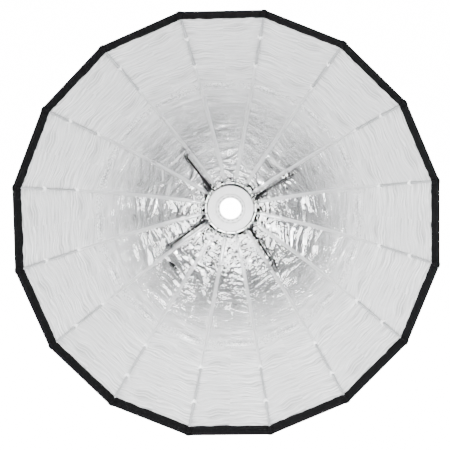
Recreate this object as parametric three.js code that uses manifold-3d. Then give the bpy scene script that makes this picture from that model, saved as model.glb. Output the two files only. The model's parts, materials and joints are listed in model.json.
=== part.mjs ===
// A deep sixteen-rib umbrella reflector that folds like an umbrella round a bayonet hub.
// Millimetres. The part stands with +Z up, its axis along Y and its mouth facing -Y, and its
// origin is on the axis in the hub's rear face, where the light head seats.
//
// Pieces are designed in an assembly frame whose +Y runs out of the bowl along the axis. A rib's
// own frame has +X away from the axis, +Y out of the bowl and +Z along the rib's fold hinge.
// "Station" is a place on the fabric, given by its distance from the axis.
import * as THREE from "three";
import { mergeVertices } from "three/addons/utils/BufferGeometryUtils.js";
import Module from "manifold-3d";

const wasm = await Module();
wasm.setup();

// Bowl
const RIB_COUNT = 16;
const RIM_RADIUS = 600; // axis to a corner of the rim
const BOWL_DEPTH = 650; // hub's rear face to a corner of the rim
const CANOPY_THICKNESS = 2.4; // lining, air and outer fabric together
const CANOPY_ROWS = 12;

// Clearances
const GAP = 0.3; // between pieces that touch
const RUNNING = 0.35; // round a pin that turns
const SLOT_SIDE = 0.5; // each side of a rib eye in its hub slot
const RIB_SLACK = 1.5; // between a rib and the fabric behind it
const CUFF_TO_RIB = 1;
const CUT_PAST = 1; // how far a hole's cutter runs past each face

// Hub
const HUB_RADIUS = 77;
const HUB_BORE_RADIUS = 52;
const HUB_FRONT = 40; // front of the hub's castings, over the rear face
const SLOT_TOP_WALL = 7; // hub left in front of a rib slot
const FLANGE_INSET = 2; // flange edge inside the hub's edge
const FLANGE_BORE_RADIUS = 50;
const FLANGE_THICKNESS = 4.7;
const FLANGE_CHAMFER = 1.2;
const CUFF_WIDTH = 5;
const CANOPY_START_HEIGHT = 12.8; // fabric at the cuff, over the rear face

// Vented plate inside the flange
const VENT_RADIUS = 60;
const VENT_BORE_RADIUS = 35;
const VENT_THICKNESS = 3.2;
const VENT_LIP_DEPTH = 9;
const VENT_LIP_WALL = 1.6;
const VENT_SLOTS = 16; // in each of two rows
const VENT_ROW_RADII = [39.2, 46.6];
const VENT_SLOT_WIDTH = 2.4;
const VENT_SLOT_SHARE = 0.55; // slot length over the row's pitch

// Bayonet ring
const BAYONET_RADIUS = 70;
const BAYONET_BORE_RADIUS = 50;
const BAYONET_THICKNESS = 2.7;
const LUG_COUNT = 3;
const LUG_REACH = 11; // behind the rear face
const LUG_RADIUS = 63; // inside of a lug's wall
const LUG_WALL = 2.6;
const LUG_HOOK = 3.6; // how far the lug's end turns out
const LUG_HALF_ANGLE = THREE.MathUtils.degToRad(13);

// Ribs
const RIB_DIAMETER = 6;
const RIB_SIDES = 6;
const RIB_STEPS_INSIDE = 4; // from the hinge to the bracket
const RIB_STEPS_OUTSIDE = 8; // from the bracket to the tip
const RIB_ROOT_INSET = 4; // rib hinge inside the hub's edge, as a station
const RIB_TIP_INSET = 4; // rib end short of the rim's corner
const EYE_WALL = 2; // rib eye round the rib's own thickness
const PIVOT_WIRE_DIAMETER = 3;
const WIRE_SIDES = 6;

// Braces, on four of the ribs. Each entry is a rib number and the side its brace lies on.
const BRACED_RIBS = [
  [2, 1],
  [6, -1],
  [10, 1],
  [14, -1],
];
const BRACE_OFFSET = 16; // brace beside its rib
const BRACE_STATION = 233; // where it meets the rib
const BRACE_ROOT_DROP = 4; // root pin behind the front of the hub
const BRACE_INNER_LENGTH = 61;
const LINK_HALF_HEIGHT = 4;
const LINK_HALF_WIDTH = 5.2;
const LINK_WALL = 1.6;
const LINK_HUB_CLEARANCE = 1.5;
const BLADE_THICKNESS = 5;
const HOOK_LENGTH = 14; // of the bend at the blade's outer end
const HOOK_STAND_OFF = 2.5; // hook's end to the bracket's ear
const HOOK_STEPS = 5;
const TIP_IN_HOOK = 1; // how far the round tip starts inside the hook's end
const PIN_RADIUS = 2;
const PIN_HEAD_RADIUS = 3.4;
const PIN_HEAD = 1.2;
const EAR_THICKNESS = 2.5;
const EAR_RADIUS = 5;

// Brackets on the braced ribs
const BRACKET_LENGTH = 36;
const BRACKET_WALL = 2;
const BRACKET_SLACK = 0.5;
const BRACKET_SKIRT = 2; // how far its sides reach behind the rib's middle
const BRACKET_PIN_LIFT = 10; // brace pin over the rib's middle
const BRACKET_EDGE = 2.8; // metal left round the slot
const SLOT_TRAVEL = 5; // the pin's free travel each way along the rib

// Sizes that follow from those above
const GORE_ANGLE = (2 * Math.PI) / RIB_COUNT;
const HALF_GORE = GORE_ANGLE / 2;
const RING_SEGMENTS = RIB_COUNT * 2;
const WIRE_SEGMENTS = RIB_COUNT * 3; // so that a straight stretch of wire crosses each rib eye
const ROUND_SIDES = 8; // of small pins and holes
const RIB_RADIUS = RIB_DIAMETER / 2;
const RIB_LIFT = (RIB_RADIUS + RIB_SLACK) / Math.cos(HALF_GORE); // rib's middle over the fabric
const EYE_RADIUS = RIB_RADIUS + EYE_WALL;
const EYE_WIDTH = RIB_DIAMETER;
const RIB_ROOT = HUB_RADIUS - RIB_ROOT_INSET;
const RIB_TIP = RIM_RADIUS - RIB_TIP_INSET;
const FLANGE_RADIUS = HUB_RADIUS - FLANGE_INSET;
const CUFF_RADIUS = HUB_RADIUS + GAP + CUFF_WIDTH;
const CANOPY_START = (CUFF_RADIUS + GAP) / Math.cos(HALF_GORE);
const BOWL_CURVE =
  (BOWL_DEPTH - CANOPY_START_HEIGHT) / (RIM_RADIUS ** 2 - CANOPY_START ** 2);
const HUB_REAR = BAYONET_THICKNESS + GAP;
const HUB_SLOT_TOP = HUB_FRONT - SLOT_TOP_WALL;
const WIRE_RADIUS = PIVOT_WIRE_DIAMETER / 2;
const EAR_OUTSIDE = LINK_HALF_WIDTH + GAP + EAR_THICKNESS;
const BLADE_HALF_WIDTH = LINK_HALF_WIDTH - LINK_WALL - GAP;
const BRACKET_HALF_WIDTH = RIB_RADIUS + BRACKET_SLACK + BRACKET_WALL;

const MATERIALS = {
  silverFabric: new THREE.MeshStandardMaterial({ color: 0xc9cccd, roughness: 0.35, metalness: 0.8 }),
  blackFabric: new THREE.MeshStandardMaterial({ color: 0x1d1e20, roughness: 0.9, metalness: 0 }),
  ribSteel: new THREE.MeshStandardMaterial({ color: 0xd6d8d8, roughness: 0.4, metalness: 0.6 }),
  blackMetal: new THREE.MeshStandardMaterial({ color: 0x151618, roughness: 0.5, metalness: 0.4 }),
  brightSteel: new THREE.MeshStandardMaterial({ color: 0xb4b6b8, roughness: 0.25, metalness: 1 }),
  whitePaint: new THREE.MeshStandardMaterial({ color: 0xf0f0ee, roughness: 0.45, metalness: 0 }),
  greyPlastic: new THREE.MeshStandardMaterial({ color: 0x3a3b3d, roughness: 0.6, metalness: 0 }),
};

// The bowl is a paraboloid that starts at the cuff. The fabric's height over the rear face, and
// its slope, at a station.
function bowlHeight(station) {
  return CANOPY_START_HEIGHT + BOWL_CURVE * (station ** 2 - CANOPY_START ** 2);
}

const bowlSlope = (station) => 2 * BOWL_CURVE * station;

// A point of a rib's plane that stands over the fabric, towards the inside of the bowl.
function overFabric(station, lift) {
  const inward = new THREE.Vector2(-bowlSlope(station), 1).normalize();
  return new THREE.Vector2(station, bowlHeight(station)).addScaledVector(inward, lift);
}

const RIB_PIVOT = overFabric(RIB_ROOT, RIB_LIFT);
const BRACE_ROOT = new THREE.Vector2(
  HUB_RADIUS + LINK_HALF_HEIGHT + LINK_HUB_CLEARANCE,
  HUB_FRONT - BRACE_ROOT_DROP,
);

// A rib runs straight through its bracket, so the bracket sits on the chord between these two.
const BRACKET_REACH = (BRACKET_LENGTH / 2 + BRACKET_SLACK) / Math.hypot(1, bowlSlope(BRACE_STATION));
const BRACKET_LOW = overFabric(BRACE_STATION - BRACKET_REACH, RIB_LIFT);
const BRACKET_HIGH = overFabric(BRACE_STATION + BRACKET_REACH, RIB_LIFT);
const BRACKET_MIDDLE = BRACKET_LOW.clone().lerp(BRACKET_HIGH, 0.5);
const BRACKET_ANGLE = BRACKET_HIGH.clone().sub(BRACKET_LOW).angle();
const BRACE_END = new THREE.Vector2(0, BRACKET_PIN_LIFT)
  .rotateAround(new THREE.Vector2(), BRACKET_ANGLE)
  .add(BRACKET_MIDDLE);
const BRACE_SPAN = BRACE_END.clone().sub(BRACE_ROOT);
const BRACE_OUTER_LENGTH = BRACE_SPAN.length() - BRACE_INNER_LENGTH;

// A closed geometry as a manifold solid, and a manifold solid as a geometry.
function solid(geometry) {
  const bare = geometry.clone();
  for (const name of Object.keys(bare.attributes)) {
    if (name !== "position") bare.deleteAttribute(name);
  }
  const merged = mergeVertices(bare, 1e-4);
  return new wasm.Manifold(
    new wasm.Mesh({
      numProp: 3,
      vertProperties: merged.getAttribute("position").array,
      triVerts: new Uint32Array(merged.index.array),
    }),
  );
}

function geometryOf(manifold) {
  const mesh = manifold.getMesh();
  const geometry = new THREE.BufferGeometry();
  geometry.setAttribute("position", new THREE.BufferAttribute(mesh.vertProperties, 3));
  geometry.setIndex(new THREE.BufferAttribute(mesh.triVerts, 1));
  geometry.computeVertexNormals();
  return geometry;
}

function join(...geometries) {
  return geometryOf(geometries.map(solid).reduce((whole, part) => whole.add(part)));
}

function cut(body, ...tools) {
  return geometryOf(tools.map(solid).reduce((whole, tool) => whole.subtract(tool), solid(body)));
}

// A ring round the axis from the corners of its section, which run counter-clockwise.
function ring(corners, segments = RING_SEGMENTS) {
  const profile = [...corners, corners[0]].map(([r, y]) => new THREE.Vector2(r, y));
  return new THREE.LatheGeometry(profile, segments);
}

function tube(inner, outer, low, high, segments = RING_SEGMENTS) {
  const corners = [
    [inner, low],
    [outer, low],
    [outer, high],
    [inner, high],
  ];
  return ring(corners, segments);
}

// A box between two corners.
function block(low, high) {
  const size = high.map((value, i) => value - low[i]);
  const middle = high.map((value, i) => (value + low[i]) / 2);
  return new THREE.BoxGeometry(...size).translate(...middle);
}

// A round bar along Z.
function bar(radius, low, high, x = 0, y = 0) {
  return new THREE.CylinderGeometry(radius, radius, high - low, ROUND_SIDES)
    .rotateX(Math.PI / 2)
    .translate(x, y, (low + high) / 2);
}

// A plate parallel to the XY plane, from an outline.
function plate(outline, low, high, curveSegments = 4) {
  return new THREE.ExtrudeGeometry(outline, {
    depth: high - low,
    bevelEnabled: false,
    curveSegments,
  }).translate(0, 0, low);
}

// A slot-shaped outline with round ends on two points of the X direction.
function stadium(fromX, toX, y, radius) {
  const outline = new THREE.Shape();
  outline.absarc(toX, y, radius, -Math.PI / 2, Math.PI / 2);
  outline.absarc(fromX, y, radius, Math.PI / 2, (3 * Math.PI) / 2);
  outline.closePath();
  return outline;
}

// A block that follows an arc round the axis.
function arcBlock(inner, outer, middleAngle, halfAngle, low, high, curveSegments = 4) {
  const outline = new THREE.Shape();
  outline.absarc(0, 0, outer, middleAngle - halfAngle, middleAngle + halfAngle);
  outline.absarc(0, 0, inner, middleAngle + halfAngle, middleAngle - halfAngle, true);
  outline.closePath();
  return plate(outline, low, high, curveSegments).rotateX(-Math.PI / 2);
}

const ribAngle = (number) => HALF_GORE + (number - 1) * GORE_ANGLE;

// Moves a geometry from a rib's own frame into the assembly frame.
const turnedToRib = (geometry, number) => geometry.rotateY(ribAngle(number));

// Hub

// The wire that the rib eyes turn on.
function pivotWire() {
  const section = Array.from({ length: WIRE_SIDES }, (_, i) => {
    const angle = (i * 2 * Math.PI) / WIRE_SIDES;
    return [
      RIB_PIVOT.x + WIRE_RADIUS * Math.cos(angle),
      RIB_PIVOT.y + WIRE_RADIUS * Math.sin(angle),
    ];
  });
  return ring(section, WIRE_SEGMENTS);
}

// The square groove that holds the wire, half in each hub casting.
function wireGroove() {
  const half = WIRE_RADIUS + GAP;
  const low = RIB_PIVOT.y - half;
  const high = RIB_PIVOT.y + half;
  return tube(RIB_PIVOT.x - half, RIB_PIVOT.x + half, low, high, WIRE_SEGMENTS);
}

// The slots that the rib eyes hinge in, through both hub castings.
function ribSlots() {
  const halfWidth = EYE_WIDTH / 2 + SLOT_SIDE;
  const inner = RIB_PIVOT.x - EYE_RADIUS - SLOT_SIDE;
  const floor = RIB_PIVOT.y - EYE_RADIUS - SLOT_SIDE;
  const slots = [];
  for (let number = 1; number <= RIB_COUNT; number += 1) {
    const slot = block([inner, floor, -halfWidth], [HUB_RADIUS + EAR_RADIUS, HUB_SLOT_TOP, halfWidth]);
    slots.push(turnedToRib(slot, number));
  }
  return slots;
}

function hubBackPlate() {
  const high = RIB_PIVOT.y - GAP / 2;
  const body = tube(HUB_BORE_RADIUS, HUB_RADIUS, HUB_REAR, high, WIRE_SEGMENTS);
  return cut(body, wireGroove(), ...ribSlots());
}

// A pair of ears on the hub, either side of a brace's inner link.
function braceEars(number, side) {
  const outline = new THREE.Shape();
  const foot = HUB_RADIUS - EAR_RADIUS - LINK_HALF_HEIGHT;
  const shoulder = FLANGE_RADIUS + LINK_HUB_CLEARANCE;
  outline.moveTo(foot, BRACE_ROOT.y - EAR_RADIUS);
  outline.absarc(BRACE_ROOT.x, BRACE_ROOT.y, EAR_RADIUS, -Math.PI / 2, Math.PI / 2);
  outline.lineTo(shoulder, HUB_FRONT);
  outline.lineTo(foot, HUB_FRONT);
  outline.closePath();
  return [-1, 1].map((which) => {
    const middle = side * BRACE_OFFSET + which * (EAR_OUTSIDE - EAR_THICKNESS / 2);
    const low = middle - EAR_THICKNESS / 2;
    return turnedToRib(plate(outline, low, low + EAR_THICKNESS), number);
  });
}

function braceRootHole(number, side) {
  const reach = EAR_OUTSIDE + CUT_PAST;
  const middle = side * BRACE_OFFSET;
  const hole = bar(PIN_RADIUS + RUNNING, middle - reach, middle + reach, BRACE_ROOT.x, BRACE_ROOT.y);
  return turnedToRib(hole, number);
}

function hubFrontPlate() {
  const low = RIB_PIVOT.y + GAP / 2;
  const ledge = HUB_FRONT - VENT_THICKNESS - GAP;
  const section = [
    [HUB_BORE_RADIUS, low],
    [HUB_RADIUS, low],
    [HUB_RADIUS, HUB_FRONT],
    [VENT_RADIUS + GAP, HUB_FRONT],
    [VENT_RADIUS + GAP, ledge],
    [HUB_BORE_RADIUS, ledge],
  ];
  const body = ring(section, WIRE_SEGMENTS);
  const ears = BRACED_RIBS.flatMap(([number, side]) => braceEars(number, side));
  const holes = BRACED_RIBS.map(([number, side]) => braceRootHole(number, side));
  return cut(join(body, ...ears), wireGroove(), ...ribSlots(), ...holes);
}

function frontFlange() {
  const low = HUB_FRONT + GAP;
  const high = low + FLANGE_THICKNESS;
  return ring([
    [FLANGE_BORE_RADIUS, low],
    [FLANGE_RADIUS, low],
    [FLANGE_RADIUS, high - FLANGE_CHAMFER],
    [FLANGE_RADIUS - FLANGE_CHAMFER, high],
    [FLANGE_BORE_RADIUS + FLANGE_CHAMFER, high],
    [FLANGE_BORE_RADIUS, high - FLANGE_CHAMFER],
  ]);
}

function ventRing() {
  const high = HUB_FRONT;
  const low = high - VENT_THICKNESS;
  const body = ring([
    [VENT_BORE_RADIUS, low - VENT_LIP_DEPTH],
    [VENT_BORE_RADIUS + VENT_LIP_WALL, low - VENT_LIP_DEPTH],
    [VENT_BORE_RADIUS + VENT_LIP_WALL, low],
    [VENT_RADIUS, low],
    [VENT_RADIUS, high],
    [VENT_BORE_RADIUS, high],
  ]);
  const slots = VENT_ROW_RADII.flatMap((radius) =>
    Array.from({ length: VENT_SLOTS }, (_, i) => {
      const angle = ((i + 0.5) * 2 * Math.PI) / VENT_SLOTS;
      const half = (VENT_SLOT_SHARE * Math.PI) / VENT_SLOTS;
      const inner = radius - VENT_SLOT_WIDTH / 2;
      return arcBlock(inner, inner + VENT_SLOT_WIDTH, angle, half, low - CUT_PAST, high + CUT_PAST, 1);
    }),
  );
  return cut(body, ...slots);
}

// A ring with three hooked lugs that reach back into the light head and turn under its rim.
function bayonetRing() {
  const body = tube(BAYONET_BORE_RADIUS, BAYONET_RADIUS, 0, BAYONET_THICKNESS);
  const lugs = Array.from({ length: LUG_COUNT }, (_, i) => {
    const angle = Math.PI / 2 + (i * 2 * Math.PI) / LUG_COUNT;
    const outer = LUG_RADIUS + LUG_WALL;
    const overlap = BAYONET_THICKNESS / 2;
    return [
      arcBlock(LUG_RADIUS, outer, angle, LUG_HALF_ANGLE, -LUG_REACH, overlap),
      arcBlock(LUG_RADIUS, outer + LUG_HOOK, angle, LUG_HALF_ANGLE, -LUG_REACH, LUG_WALL - LUG_REACH),
    ];
  });
  return join(body, ...lugs.flat());
}

// The cuff fills the space behind the ribs, between the hub and the edge of the fabric.
function canopyCuff() {
  const rib = overFabric(HUB_RADIUS, RIB_LIFT);
  const high = rib.y - RIB_RADIUS * Math.hypot(1, bowlSlope(HUB_RADIUS)) - CUFF_TO_RIB;
  return tube(HUB_RADIUS + GAP, CUFF_RADIUS, HUB_REAR, high, WIRE_SEGMENTS);
}

// Ribs and canopy

// Stations from one to another in even steps, without the last.
function stations(from, to, steps) {
  return Array.from({ length: steps }, (_, i) => THREE.MathUtils.lerp(from, to, i / steps));
}

const RIB_STATIONS = [
  ...stations(RIB_ROOT, BRACE_STATION - BRACKET_REACH, RIB_STEPS_INSIDE),
  BRACE_STATION - BRACKET_REACH,
  ...stations(BRACE_STATION + BRACKET_REACH, RIB_TIP, RIB_STEPS_OUTSIDE),
  RIB_TIP,
];

// A rib's middle line, which follows the fabric through the rib's stations.
class RibLine extends THREE.Curve {
  getPoint(t, target = new THREE.Vector3()) {
    const place = THREE.MathUtils.clamp(t, 0, 1) * (RIB_STATIONS.length - 1);
    const before = Math.min(Math.floor(place), RIB_STATIONS.length - 2);
    const [from, to] = RIB_STATIONS.slice(before, before + 2);
    const point = overFabric(THREE.MathUtils.lerp(from, to, place - before), RIB_LIFT);
    return target.set(point.x, point.y, 0);
  }

  getUtoTmapping(u) {
    return u;
  }
}

function rib() {
  const corners = Array.from({ length: RIB_SIDES }, (_, i) => {
    const angle = (i * 2 * Math.PI) / RIB_SIDES;
    return new THREE.Vector2(RIB_RADIUS * Math.cos(angle), RIB_RADIUS * Math.sin(angle));
  });
  const section = new THREE.Shape(corners);
  const rod = new THREE.ExtrudeGeometry(section, {
    steps: RIB_STATIONS.length - 1,
    bevelEnabled: false,
    extrudePath: new RibLine(),
  });
  const half = EYE_WIDTH / 2;
  const eye = bar(EYE_RADIUS, -half, half, RIB_PIVOT.x, RIB_PIVOT.y);
  const hole = bar(WIRE_RADIUS + RUNNING, -half - CUT_PAST, half + CUT_PAST, RIB_PIVOT.x, RIB_PIVOT.y);
  return cut(join(rod, eye), hole);
}

// One rib's share of the canopy, out to the middle of the gore on each side. A gore is flat
// across, so the bowl is a polygon at every height.
function canopyStrip() {
  const positions = [];
  const edge = GAP / 2;
  const across = 6; // corners of each row's section: three inside, three outside
  const cos = Math.cos(HALF_GORE);
  const sin = Math.sin(HALF_GORE);
  const onRib = (point) => [point.x, point.y, 0];
  const onEdge = (point, side) => {
    const middle = point.x * cos;
    return [middle * cos + edge * sin, point.y, side * (middle * sin - edge * cos)];
  };
  for (let row = 0; row <= CANOPY_ROWS; row += 1) {
    const station = THREE.MathUtils.lerp(CANOPY_START, RIM_RADIUS, row / CANOPY_ROWS);
    const inner = overFabric(station, 0);
    const outer = overFabric(station, -CANOPY_THICKNESS);
    positions.push(...onEdge(inner, -1), ...onRib(inner), ...onEdge(inner, 1));
    positions.push(...onEdge(outer, 1), ...onRib(outer), ...onEdge(outer, -1));
  }
  const index = [];
  const quad = (a, b, c, d) => index.push(a, b, c, a, c, d);
  for (let row = 0; row < CANOPY_ROWS; row += 1) {
    for (let i = 0; i < across; i += 1) {
      const next = (i + 1) % across;
      const here = row * across;
      quad(here + i, here + next, here + across + next, here + across + i);
    }
  }
  const last = CANOPY_ROWS * across;
  quad(0, 5, 4, 1);
  quad(1, 4, 3, 2);
  quad(last, last + 1, last + 4, last + 5);
  quad(last + 1, last + 2, last + 3, last + 4);
  const geometry = new THREE.BufferGeometry();
  geometry.setAttribute("position", new THREE.Float32BufferAttribute(positions, 3));
  geometry.setIndex(index);
  geometry.computeVertexNormals();
  return geometry;
}

// Braces. Each is a two-link toggle. Its links lie along X of their own frame, with Z along
// the pins and Y towards the inside of the bowl.

function braceInnerLink() {
  const outline = stadium(0, BRACE_INNER_LENGTH, 0, LINK_HALF_HEIGHT);
  const inside = LINK_HALF_WIDTH - LINK_WALL;
  const webStart = LINK_HALF_HEIGHT + LINK_WALL;
  const webEnd = BRACE_INNER_LENGTH - LINK_HALF_HEIGHT - 2 * LINK_WALL;
  const web = block(
    [webStart, -LINK_HALF_HEIGHT, -LINK_HALF_WIDTH],
    [webEnd, LINK_WALL - LINK_HALF_HEIGHT, LINK_HALF_WIDTH],
  );
  const cheeks = [plate(outline, inside, LINK_HALF_WIDTH), plate(outline, -LINK_HALF_WIDTH, -inside)];
  const reach = LINK_HALF_WIDTH + CUT_PAST;
  const holes = [0, BRACE_INNER_LENGTH].map((x) => bar(PIN_RADIUS + RUNNING, -reach, reach, x));
  return cut(join(web, ...cheeks), ...holes);
}

function braceOuterLink(side) {
  const hookEnd = BRACE_OFFSET - BRACKET_HALF_WIDTH - HOOK_STAND_OFF;
  const tipInside = BRACE_OFFSET - BRACKET_HALF_WIDTH + 2 * BRACKET_WALL;
  const bend = new THREE.Vector3(BRACE_OUTER_LENGTH - HOOK_LENGTH, 0, 0);
  const corner = new THREE.Vector3(BRACE_OUTER_LENGTH, 0, 0);
  const end = new THREE.Vector3(BRACE_OUTER_LENGTH, 0, -side * hookEnd);
  const halfThickness = BLADE_THICKNESS / 2;
  const blade = block([0, -halfThickness, -BLADE_HALF_WIDTH], [bend.x, halfThickness, BLADE_HALF_WIDTH]);
  const section = new THREE.Shape([
    new THREE.Vector2(-BLADE_HALF_WIDTH, -halfThickness),
    new THREE.Vector2(BLADE_HALF_WIDTH, -halfThickness),
    new THREE.Vector2(BLADE_HALF_WIDTH, halfThickness),
    new THREE.Vector2(-BLADE_HALF_WIDTH, halfThickness),
  ]);
  const hook = new THREE.ExtrudeGeometry(section, {
    steps: HOOK_STEPS,
    bevelEnabled: false,
    extrudePath: new THREE.QuadraticBezierCurve3(bend, corner, end),
  });
  const eye = bar(LINK_HALF_HEIGHT, -BLADE_HALF_WIDTH, BLADE_HALF_WIDTH);
  const tipEnds = [-side * (hookEnd - TIP_IN_HOOK), -side * tipInside].sort((a, b) => a - b);
  const tip = bar(PIN_RADIUS, ...tipEnds, BRACE_OUTER_LENGTH);
  const hole = bar(PIN_RADIUS + RUNNING, -LINK_HALF_WIDTH, LINK_HALF_WIDTH);
  return cut(join(blade, hook, eye, tip), hole);
}

// A pin along Z with a head at each end, as long as what it holds.
function headedPin(halfGrip) {
  const end = halfGrip + GAP;
  const profile = [
    [0, -end - PIN_HEAD],
    [PIN_HEAD_RADIUS, -end - PIN_HEAD],
    [PIN_HEAD_RADIUS, -end],
    [PIN_RADIUS, -end],
    [PIN_RADIUS, end],
    [PIN_HEAD_RADIUS, end],
    [PIN_HEAD_RADIUS, end + PIN_HEAD],
    [0, end + PIN_HEAD],
  ].map(([r, y]) => new THREE.Vector2(r, y));
  return new THREE.LatheGeometry(profile, ROUND_SIDES).rotateX(Math.PI / 2);
}

// A saddle over a rib with an upright ear, whose slot holds the tip of the brace. Its own
// frame has X along the rib, Y towards the inside of the bowl and its origin in the rib's middle.
function ribBracket(side) {
  const inside = RIB_RADIUS + BRACKET_SLACK;
  const top = BRACKET_PIN_LIFT + PIN_RADIUS + RUNNING + BRACKET_EDGE;
  const section = new THREE.Shape(
    [
      [inside, -BRACKET_SKIRT],
      [BRACKET_HALF_WIDTH, -BRACKET_SKIRT],
      [BRACKET_HALF_WIDTH, top],
      [inside, top],
      [inside, BRACKET_HALF_WIDTH],
      [-BRACKET_HALF_WIDTH, BRACKET_HALF_WIDTH],
      [-BRACKET_HALF_WIDTH, -BRACKET_SKIRT],
      [-inside, -BRACKET_SKIRT],
      [-inside, inside],
      [inside, inside],
    ].map(([z, y]) => new THREE.Vector2(-side * z, y)),
  );
  const half = BRACKET_LENGTH / 2;
  const saddle = plate(section, -half, half).rotateY(Math.PI / 2);
  const slotOutline = stadium(-SLOT_TRAVEL, SLOT_TRAVEL, BRACKET_PIN_LIFT, PIN_RADIUS + RUNNING);
  const slotReach = BRACKET_HALF_WIDTH + CUT_PAST;
  const slot = plate(slotOutline, -slotReach, slotReach);
  return cut(saddle, slot);
}

// Assembly

const reflector = new THREE.Group();
reflector.rotation.x = Math.PI; // the assembly frame's +Y faces the part's -Y

function addPiece(parent, name, geometry, material) {
  const mesh = new THREE.Mesh(geometry, material);
  mesh.name = name;
  parent.add(mesh);
  return mesh;
}

function addHub() {
  addPiece(reflector, "bayonet_ring", bayonetRing(), MATERIALS.brightSteel);
  addPiece(reflector, "hub_back_plate", hubBackPlate(), MATERIALS.blackMetal);
  addPiece(reflector, "hub_front_plate", hubFrontPlate(), MATERIALS.blackMetal);
  addPiece(reflector, "pivot_wire", pivotWire(), MATERIALS.brightSteel);
  addPiece(reflector, "front_flange", frontFlange(), MATERIALS.whitePaint);
  addPiece(reflector, "vent_ring", ventRing(), MATERIALS.greyPlastic);
  addPiece(reflector, "canopy_cuff", canopyCuff(), MATERIALS.blackFabric);
}

function addBrace(ribFrame, which, side) {
  const brace = new THREE.Group();
  brace.position.set(BRACE_ROOT.x, BRACE_ROOT.y, side * BRACE_OFFSET);
  brace.rotation.z = BRACE_SPAN.angle();
  ribFrame.add(brace);
  addPiece(brace, `brace_inner_${which}`, braceInnerLink(), MATERIALS.blackMetal);
  addPiece(brace, `brace_root_pin_${which}`, headedPin(EAR_OUTSIDE), MATERIALS.brightSteel);
  const elbow = new THREE.Group();
  elbow.position.x = BRACE_INNER_LENGTH;
  brace.add(elbow);
  addPiece(elbow, `brace_outer_${which}`, braceOuterLink(side), MATERIALS.blackMetal);
  addPiece(elbow, `elbow_pin_${which}`, headedPin(LINK_HALF_WIDTH), MATERIALS.brightSteel);
  const bracket = addPiece(ribFrame, `rib_bracket_${which}`, ribBracket(side), MATERIALS.blackMetal);
  bracket.position.set(BRACKET_MIDDLE.x, BRACKET_MIDDLE.y, 0);
  bracket.rotation.z = BRACKET_ANGLE;
}

function addRibs() {
  for (let number = 1; number <= RIB_COUNT; number += 1) {
    const label = String(number).padStart(2, "0");
    const ribFrame = new THREE.Group();
    ribFrame.rotation.y = ribAngle(number);
    reflector.add(ribFrame);
    addPiece(ribFrame, `rib_${label}`, rib(), MATERIALS.ribSteel);
    addPiece(ribFrame, `canopy_${label}`, canopyStrip(), MATERIALS.silverFabric);
    const braced = BRACED_RIBS.findIndex(([at]) => at === number);
    if (braced >= 0) addBrace(ribFrame, braced + 1, BRACED_RIBS[braced][1]);
  }
}

addHub();
addRibs();

export default reflector;
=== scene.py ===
"""An umbrella reflector, open: a silver-lined canopy on sixteen ribs, with four braces and a hub.

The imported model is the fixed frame. Each rib has its own frame: "radial" runs from the axis out
along the rib, "lateral" across it and "out" towards the open mouth. A place on the cloth is a
station, which is the rib's distance from the axis there, and a share of the way across the gore.
"""

import json
import math

import bmesh
import bpy
import numpy as np
from mathutils import Matrix, Vector

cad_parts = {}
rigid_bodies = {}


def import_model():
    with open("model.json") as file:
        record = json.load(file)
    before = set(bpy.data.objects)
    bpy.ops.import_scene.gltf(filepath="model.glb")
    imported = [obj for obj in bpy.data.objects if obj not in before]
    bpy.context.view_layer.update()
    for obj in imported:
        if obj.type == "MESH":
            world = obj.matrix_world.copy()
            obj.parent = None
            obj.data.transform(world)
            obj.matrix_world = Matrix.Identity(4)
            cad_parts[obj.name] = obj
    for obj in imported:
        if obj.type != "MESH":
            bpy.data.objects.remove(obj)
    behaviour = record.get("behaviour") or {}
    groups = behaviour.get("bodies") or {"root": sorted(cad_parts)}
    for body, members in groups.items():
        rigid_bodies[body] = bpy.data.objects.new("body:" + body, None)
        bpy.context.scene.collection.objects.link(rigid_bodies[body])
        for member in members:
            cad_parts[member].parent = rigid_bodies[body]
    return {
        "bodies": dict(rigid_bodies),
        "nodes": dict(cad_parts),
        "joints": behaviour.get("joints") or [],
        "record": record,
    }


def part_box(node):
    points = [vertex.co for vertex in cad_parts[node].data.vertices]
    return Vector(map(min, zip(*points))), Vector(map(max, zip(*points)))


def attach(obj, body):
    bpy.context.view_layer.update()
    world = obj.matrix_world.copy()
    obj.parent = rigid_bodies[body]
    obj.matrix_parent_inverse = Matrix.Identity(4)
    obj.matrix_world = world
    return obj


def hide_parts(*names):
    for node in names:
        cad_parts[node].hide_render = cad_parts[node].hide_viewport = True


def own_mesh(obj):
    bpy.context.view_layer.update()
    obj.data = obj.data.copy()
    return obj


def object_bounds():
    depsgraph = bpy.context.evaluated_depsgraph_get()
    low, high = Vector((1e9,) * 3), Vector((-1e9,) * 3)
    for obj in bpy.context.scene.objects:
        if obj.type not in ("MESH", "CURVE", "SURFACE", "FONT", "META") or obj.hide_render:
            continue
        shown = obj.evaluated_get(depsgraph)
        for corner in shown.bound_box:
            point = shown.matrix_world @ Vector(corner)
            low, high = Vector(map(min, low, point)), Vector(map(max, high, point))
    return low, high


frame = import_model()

MM = 0.001
cad_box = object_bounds()

# Cloth
CLOTH_THICKNESS = 0.8 * MM
COLUMNS = 16  # of the cloth grid, from a rib to the middle of its gore
ROW_STEPS = (2.2 * MM, 3.6 * MM)  # along the cloth, near the hub and further out
SAG = 5 * MM  # how far a gore bellies in between its ribs
ZONE_STATIONS = (288 * MM, 412 * MM, 512 * MM)  # where the cloth is split into zones
MIRROR_ZONE = (270 * MM, 430 * MM)  # the lining turns from mirror-bright to satin here
PAINTED_DARK_REFLECTION_STARTS = (100 * MM, 150 * MM)  # patches of painted darker reflection grow in here
PAINTED_DARK_REFLECTION_ENDS = (250 * MM, 360 * MM)  # and fade out here
CRUSHED_ZONE = (150 * MM, 290 * MM)  # the crushing round the hub dies away here

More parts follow.
